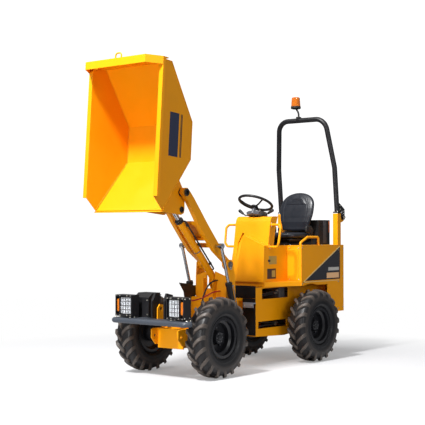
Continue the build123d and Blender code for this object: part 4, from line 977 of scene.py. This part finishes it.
# %% Seat base and belt
rise = np.linspace(0, 1, 61)
fold_in = 5.5 * np.cos(rise * 5 * 2 * pi)
x, y = round_outline(138 - 6 * rise + fold_in, 140 - 8 * rise + fold_in, 5.0, 96)
bellows = np.stack([x, y + 850, np.broadcast_to((1104 + 40 * rise)[:, None], x.shape)], -1)
make("seat_bellows", [skin(bellows)], hose_black, angle=60)
make("seat_plates", [pillow((-150, 700, 1090), (150, 1000, 1104), 16, 3),
                     pillow((-172, 690, 1140), (172, 1000, 1149), 22, 3),
                     *pair(pillow((118, 700, 1128), (140, 1004, 1141), 4, 3))],
     black, replaces=["seat_base"])
hinge = [turned([(0, 0), (0, 27), (8, 27), (13, 22), (14, 0)], (183, 1004, 1238), LEFT, 28),
         pillow((176, 975, 1180), (184, 1030, 1258), 12, 2, axis=0)]
tilt_lever = rod(eased([(190, 990, 1236), (199, 940, 1252), (199, 900, 1250)], 2), 5.5, 12)
make("seat_hinges", [*pair(*hinge), tilt_lever], black)
hip_stay = rod(eased([(150, 930, 1144), (206, 930, 1146), (212, 930, 1216)], 2), 8, 12)
make("hip_supports", pair(pillow((200, 868, 1206), (224, 972, 1276), 22, 9, axis=0), hip_stay),
     plastic)
make("belt_reel_and_buckle", [
    pillow((-246, 940, 1092), (-206, 1010, 1180), 12, 6, axis=0),
    rod(eased([(206, 985, 1105), (212, 975, 1160), (214, 962, 1200)], 2), 6, 10),
    pillow((204, 944, 1192), (226, 976, 1252), 7, 4, axis=0)], plastic)
make("belt_button", [pillow((207, 948, 1246), (223, 970, 1257), 3, 2, steps=3)], orange_film)
print("seat bellows", bellows.shape)

# %% [markdown]
# ## Body panels
# The body is bolted together from flat panels. A dark three-cornered film with a cream
# line along its long edge dresses each side, and two blank label places sit in it. The
# cover at the back hangs on two hinges and shuts with a turn latch. Through the windows of
# the chassis plates one sees the hoses that run from the pump to the steering joint.

# %% Body
def side_film(corners, out=0.6):
    """A film on the body's left side from its (Y, Z) corners."""
    return film([(360.05, y, z) for y, z in corners], LEFT, out)


def box_film(x, y0, z0, y1, z1, out=0.6):
    """An upright rectangular film that faces the left side."""
    return film([(x, y0, z0), (x, y1, z0), (x, y1, z1), (x, y0, z1)], LEFT, out)


def console_face(x, z, out):
    """A point over the console's front, which leans back by 0.2301 for each unit up."""
    return x, 184.9 + 0.2301 * (z - 756.5) + out, z


films = {
    "side_dark_films": (night_film, pair(
        side_film([(640, 757), (1239, 757), (1239, 1062)]),
        side_film([(1240.6, 757), (1253, 757), (1253, 1069), (1240.6, 1063)]))),
    "side_cream_lines": (cream_film, pair(
        side_film([(590, 742), (612, 742), (1239, 1062), (1239, 1074)]),
        side_film([(1240.6, 1063), (1255, 1070), (1255, 1082), (1240.6, 1075)]),
        side_film([(590, 742), (700, 742), (700, 748), (602, 748)]),
        box_film(360.05, 700, 742, 1239, 748))),
    "side_pale_labels": (pale_film, pair(box_film(360.05, 1040, 842, 1232, 874, 1.0))),
    "side_peach_labels": (peach_film, pair(box_film(360.05, 1012, 770, 1232, 822, 1.0))),
    "console_dark_labels": (night_film, [box_film(200.05, 250, 784, 388, 878),
                                         box_film(200.05, 262, 940, 300, 962)]),
    "console_pale_labels": (olive_film, [box_film(200.05, 276, 918, 400, 994, 0.4),
                                         box_film(200.05, 322, 800, 376, 860, 0.9)]),
    "console_front_labels": (pale_film, [
        film([console_face(x, z, 5.3) for x, z in ((left, 792), (left + 34, 792), (left + 34, 828),
                                                   (left, 828))], (0, -0.974, 0.224))
        for left in (-96, -54)]),
}
for name, (finish, pieces) in films.items():
    make(name, pieces, finish)

panel_bolts = [(x, 574.5, z) for x in (330, 226) for z in (772, 1066)]
edge_bolts = [(360.2, y, z) for y, z in ((590, 730), (590, 1068), (1222, 1040), (1222, 730),
                                         (1222, 470), (1306, 1050), (1306, 780), (1306, 480))]
deck_bolts = [(x, y, 1090) for x, y in ((344, 620), (344, 950), (205, 620), (120, 640))]
bolts("body_bolts", "rear_chassis", (10, 5, panel_bolts, FRONT), (10, 5, edge_bolts, LEFT),
      (10, 5, deck_bolts, UP))
flange = pillow((-19, -19, 0), (19, 19, 4), 6, 1.2, steps=4)
make("rail_feet", pair(many(flange, [(200, 313, 1284), (200, 284, 1080)], LEFT),
                       many(flange, [(336, 594, 1090), (336, 900, 1090)], UP)),
     yellow)
foot_bolts = [(204, y, z + s) for y, z in ((313, 1284), (284, 1080)) for s in (-15, 15)]
bolts("rail_foot_bolts", "rear_chassis", (8, 4, foot_bolts, LEFT))

s = np.linspace(-1, 1, 15)
louvre = np.stack([70 * s, 9 * np.sqrt(1 - s ** 4)], 1)
make("rear_cover_louvres", [turned(louvre, (x, 1320, z), LEFT, 20) for x in (-170, 170)
                            for z in range(560, 800, 34)], yellow)
hinge_pins = [rod([(x - 34, 1326, 1070), (x + 34, 1326, 1070)], 6, 12) for x in (-240, 240)]
latch = [turned([(0, 0), (0, 24), (4, 24), (6, 20), (6, 0)], (0, 1322, 500), (0, 1, 0), 28),
         pillow((-4, 1326, 484), (4, 1336, 516), 3, 2, axis=1, steps=3)]
make("rear_cover_hinges_and_latch", [*hinge_pins, *latch], black)
print("films", len(films), "louvres", 2 * len(range(560, 800, 34)))

# %% Air box, floor and chassis hoses
slats = [pillow((205, 1128, z), (208.5, 1180, z + 9), 3, 1.5, axis=0, steps=3)
         for z in np.arange(1112, 1316, 17)]
side_panel = pillow((205, 1190, 1106), (207.5, 1250, 1322), 6, 1, axis=0, steps=4)
strip = pillow((205, 1296, 1210), (208, 1310, 1326), 3, 1, axis=0, steps=3)
make("air_box_slats", pair(*slats), plastic)
make("air_box_panels", pair(side_panel), grey_moulding)
make("air_box_strips", pair(strip), orange_film)
mat_ribs = [pillow((-166, y - 2.5, 760), (166, y + 2.5, 763), 2, 1, steps=3)
            for y in np.arange(240, 556, 15)]
make("floor_mat", [pillow((-176, 224, 755.8), (176, 566, 760.5), 12, 1.5), *mat_ribs], hose_black)
feed_line = np.array([(150, 1100, 640), (150, 640, 652), (146, 420, 640), (120, 240, 620),
                      (90, 100, 590), (84, 84, 570)])
runs = [feed_line,
        [(168, 1100, 668), (166, 640, 676), (160, 420, 662), (140, 240, 640), (112, 100, 600),
         (104, 84, 585)],
        feed_line * (-1, 1, 1),
        [(160, 560, 366), (150, 420, 372), (120, 260, 380), (60, 140, 420), (30, 96, 470)],
        [(140, 1000, 352), (140, 700, 352), (150, 500, 356), (140, 300, 352), (120, 180, 340),
         (70, 90, 330)]]
make("chassis_hoses", [rod(eased(run, 3), 8.0, 12) for run in runs], hose_black)
ferrule = [(0, 0), (0, 10), (20, 10), (20, 12.5), (30, 12.5), (30, 9), (44, 9), (44, 0)]
ferrules = [turned(ferrule, place, FRONT, 6)
            for place in ((150, 470, 645), (166, 480, 668), (-150, 470, 645), (158, 470, 369),
                          (147, 470, 355))]
make("chassis_hose_tails", ferrules, zinc)
make("valve_blocks", [pillow((92, 470, 600), (186, 552, 700), 6, 3),
                      pillow((-186, 470, 600), (-92, 552, 700), 6, 3)], iron)
# painted shade: dull black sheets over the rear chassis's front plates stand in for the shade on
# that face, and their bolts are the same black
front_shade_sheets = bars([((-199, 65, 614), (199, 71.6, 727)), ((55, 65, 277), (199, 71.6, 612)),
               ((-199, 65, 352), (-55, 71.6, 612))], 6, 2, steps=5)
make("chassis_front_shade_sheets", front_shade_sheets, shade_black)
shade_sheet_bolts = [(x, 65, z) for x in (80, 182) for z in (300, 500, 640, 708)]
make("chassis_shade_sheet_bolts", [many(bolt(12, 6), shade_sheet_bolts, FRONT)], shade_black)
slot_outline = ((-156, 962), (-82, 962), (-80, 1214), (-156, 1214))
make("console_slot_backing", [film([console_face(x, z, 11.3) for x, z in slot_outline],
                                   (0, 0.974, -0.224), 2.0)], yellow)
bolts("step_bolts", "rear_chassis", (11, 6, [(x, 32, 550) for x in (104, 182)], FRONT))
frame_welds = [*beads([[(194, 80.5, 280), (194, 80.5, 700)], [(0, 71.5, 612), (52, 71.5, 612)],
                       [(0, 71.5, 349), (52, 71.5, 349)]], 2.4),
               bead([(200.5, 74, 711), (200.5, 560, 711)], 2.2)]
make("rear_frame_welds", pair(*frame_welds), yellow, angle=60)
print("hoses in the chassis", len(runs))

# %% [markdown]
# ## Roll bar and beacon
# The hoop folds back on a pin in each foot bracket and is held up by a lock pin with a pull
# ring. The beacon on top is a fluted amber lens over a bright rotor;
# the flutes are vertical ridges, drawn as a small cosine on the lens's radius.

# %% Roll bar
hoop_x = 334
bar_pin = (1332, 1362)             # (Y, Z) of the pin on which the hoop folds
lock_y, lock_z = 1290, 1420
washer = turned([(0, 0), (0, 19), (3, 19), (3, 0)], sides=24)
lock = rod([(hoop_x - 34, lock_y, lock_z), (hoop_x + 36, lock_y, lock_z)], 7, 14)
turns = np.arange(32) * 2 * pi / 32
spoke = np.stack([0 * turns, np.cos(turns), np.sin(turns)], 1)[:, None]
wire = circle(2.2, 8)
pull_ring = ((hoop_x + 36, lock_y, lock_z - 16) + 17 * spoke + wire[..., :1] * LEFT
             + wire[..., 1:] * spoke)
make("roll_bar_pins", pair(lock, skin(pull_ring, along=True),
                           many(washer, [(hoop_x + 26, *bar_pin)], LEFT)),
     steel, "roll_bar")
bracket_bolts = [(hoop_x + 18, y, z) for y, z in ((1268, 1478), (1268, 1440), (1340, 1424))]
sole_bolts = [(hoop_x + s, 1226, 1414) for s in (-20, 14)]
bolts("roll_bar_bolts", "roll_bar", (19, 10, [(hoop_x + 29, *bar_pin)], LEFT),
      (14, 8, bracket_bolts, LEFT), (13, 8, sole_bolts, UP))
corner = (hoop_x - 30, 1215, 1091)
post_welds = beads([[corner, (hoop_x - 30, 1275, 1091)], [corner, (hoop_x + 23, 1215, 1091)],
                    [(hoop_x + 24, 1215, 1091), (hoop_x + 24, 1239, 1091)]])
make("post_welds", pair(*post_welds), yellow, angle=60)
print("roll bar bolts", 2 * (1 + len(bracket_bolts) + len(sole_bolts)))

# %% Beacon
bx, by, bz = -70, 1120, 2355
saddle = pillow((-52, 1092, bz - 20), (-20, 1148, bz + 12), 6, 2)
stem = rod(eased([(-36, by, bz + 8), (-36, by, bz + 52), (-64, by, bz + 92)], 3), 9, 18)
foot = turned([(92, 0), (92, 30), (96, 46), (100, 50), (117, 50), (121, 47), (121, 0)],
              (bx, by, bz), UP, 48)
make("beacon_base", [saddle, stem, foot], plastic, "roll_bar", replaces=["beacon"])
bolts("beacon_saddle_bolts", "roll_bar", (10, 6, [(-36, y, bz + 12) for y in (1104, 1136)], UP),
      both_sides=False)
wall, dome = np.linspace(0, 1, 30), np.linspace(0, pi / 2, 12)
height = bz + np.concatenate([np.linspace(121, 202, 30), 202 + 12.5 * np.sin(dome)])
radius = np.concatenate([46 - 6 * wall, 40 * np.cos(dome) ** 0.8])
a = np.arange(144) * 2 * pi / 144
fluted = radius[:, None] * (1 + 0.018 * np.cos(36 * a))
lens_rings = np.stack([bx + fluted * np.cos(a), by + fluted * np.sin(a),
                       np.broadcast_to(height[:, None], fluted.shape)], -1)
make("beacon_lens_cap", [skin(lens_rings)], beacon_amber, "roll_bar", angle=50)
rotor = [turned([(122, 0), (122, 20), (150, 20), (152, 6), (186, 6), (188, 0)], (bx, by, bz),
                UP, 24),
         pillow((bx - 22, by + 4, bz + 136), (bx + 22, by + 9, bz + 190), 8, 2, axis=1)]
make("beacon_rotor", rotor, mirror_dish, "roll_bar")
print("beacon top at", round(float(height[-1])), "mm")
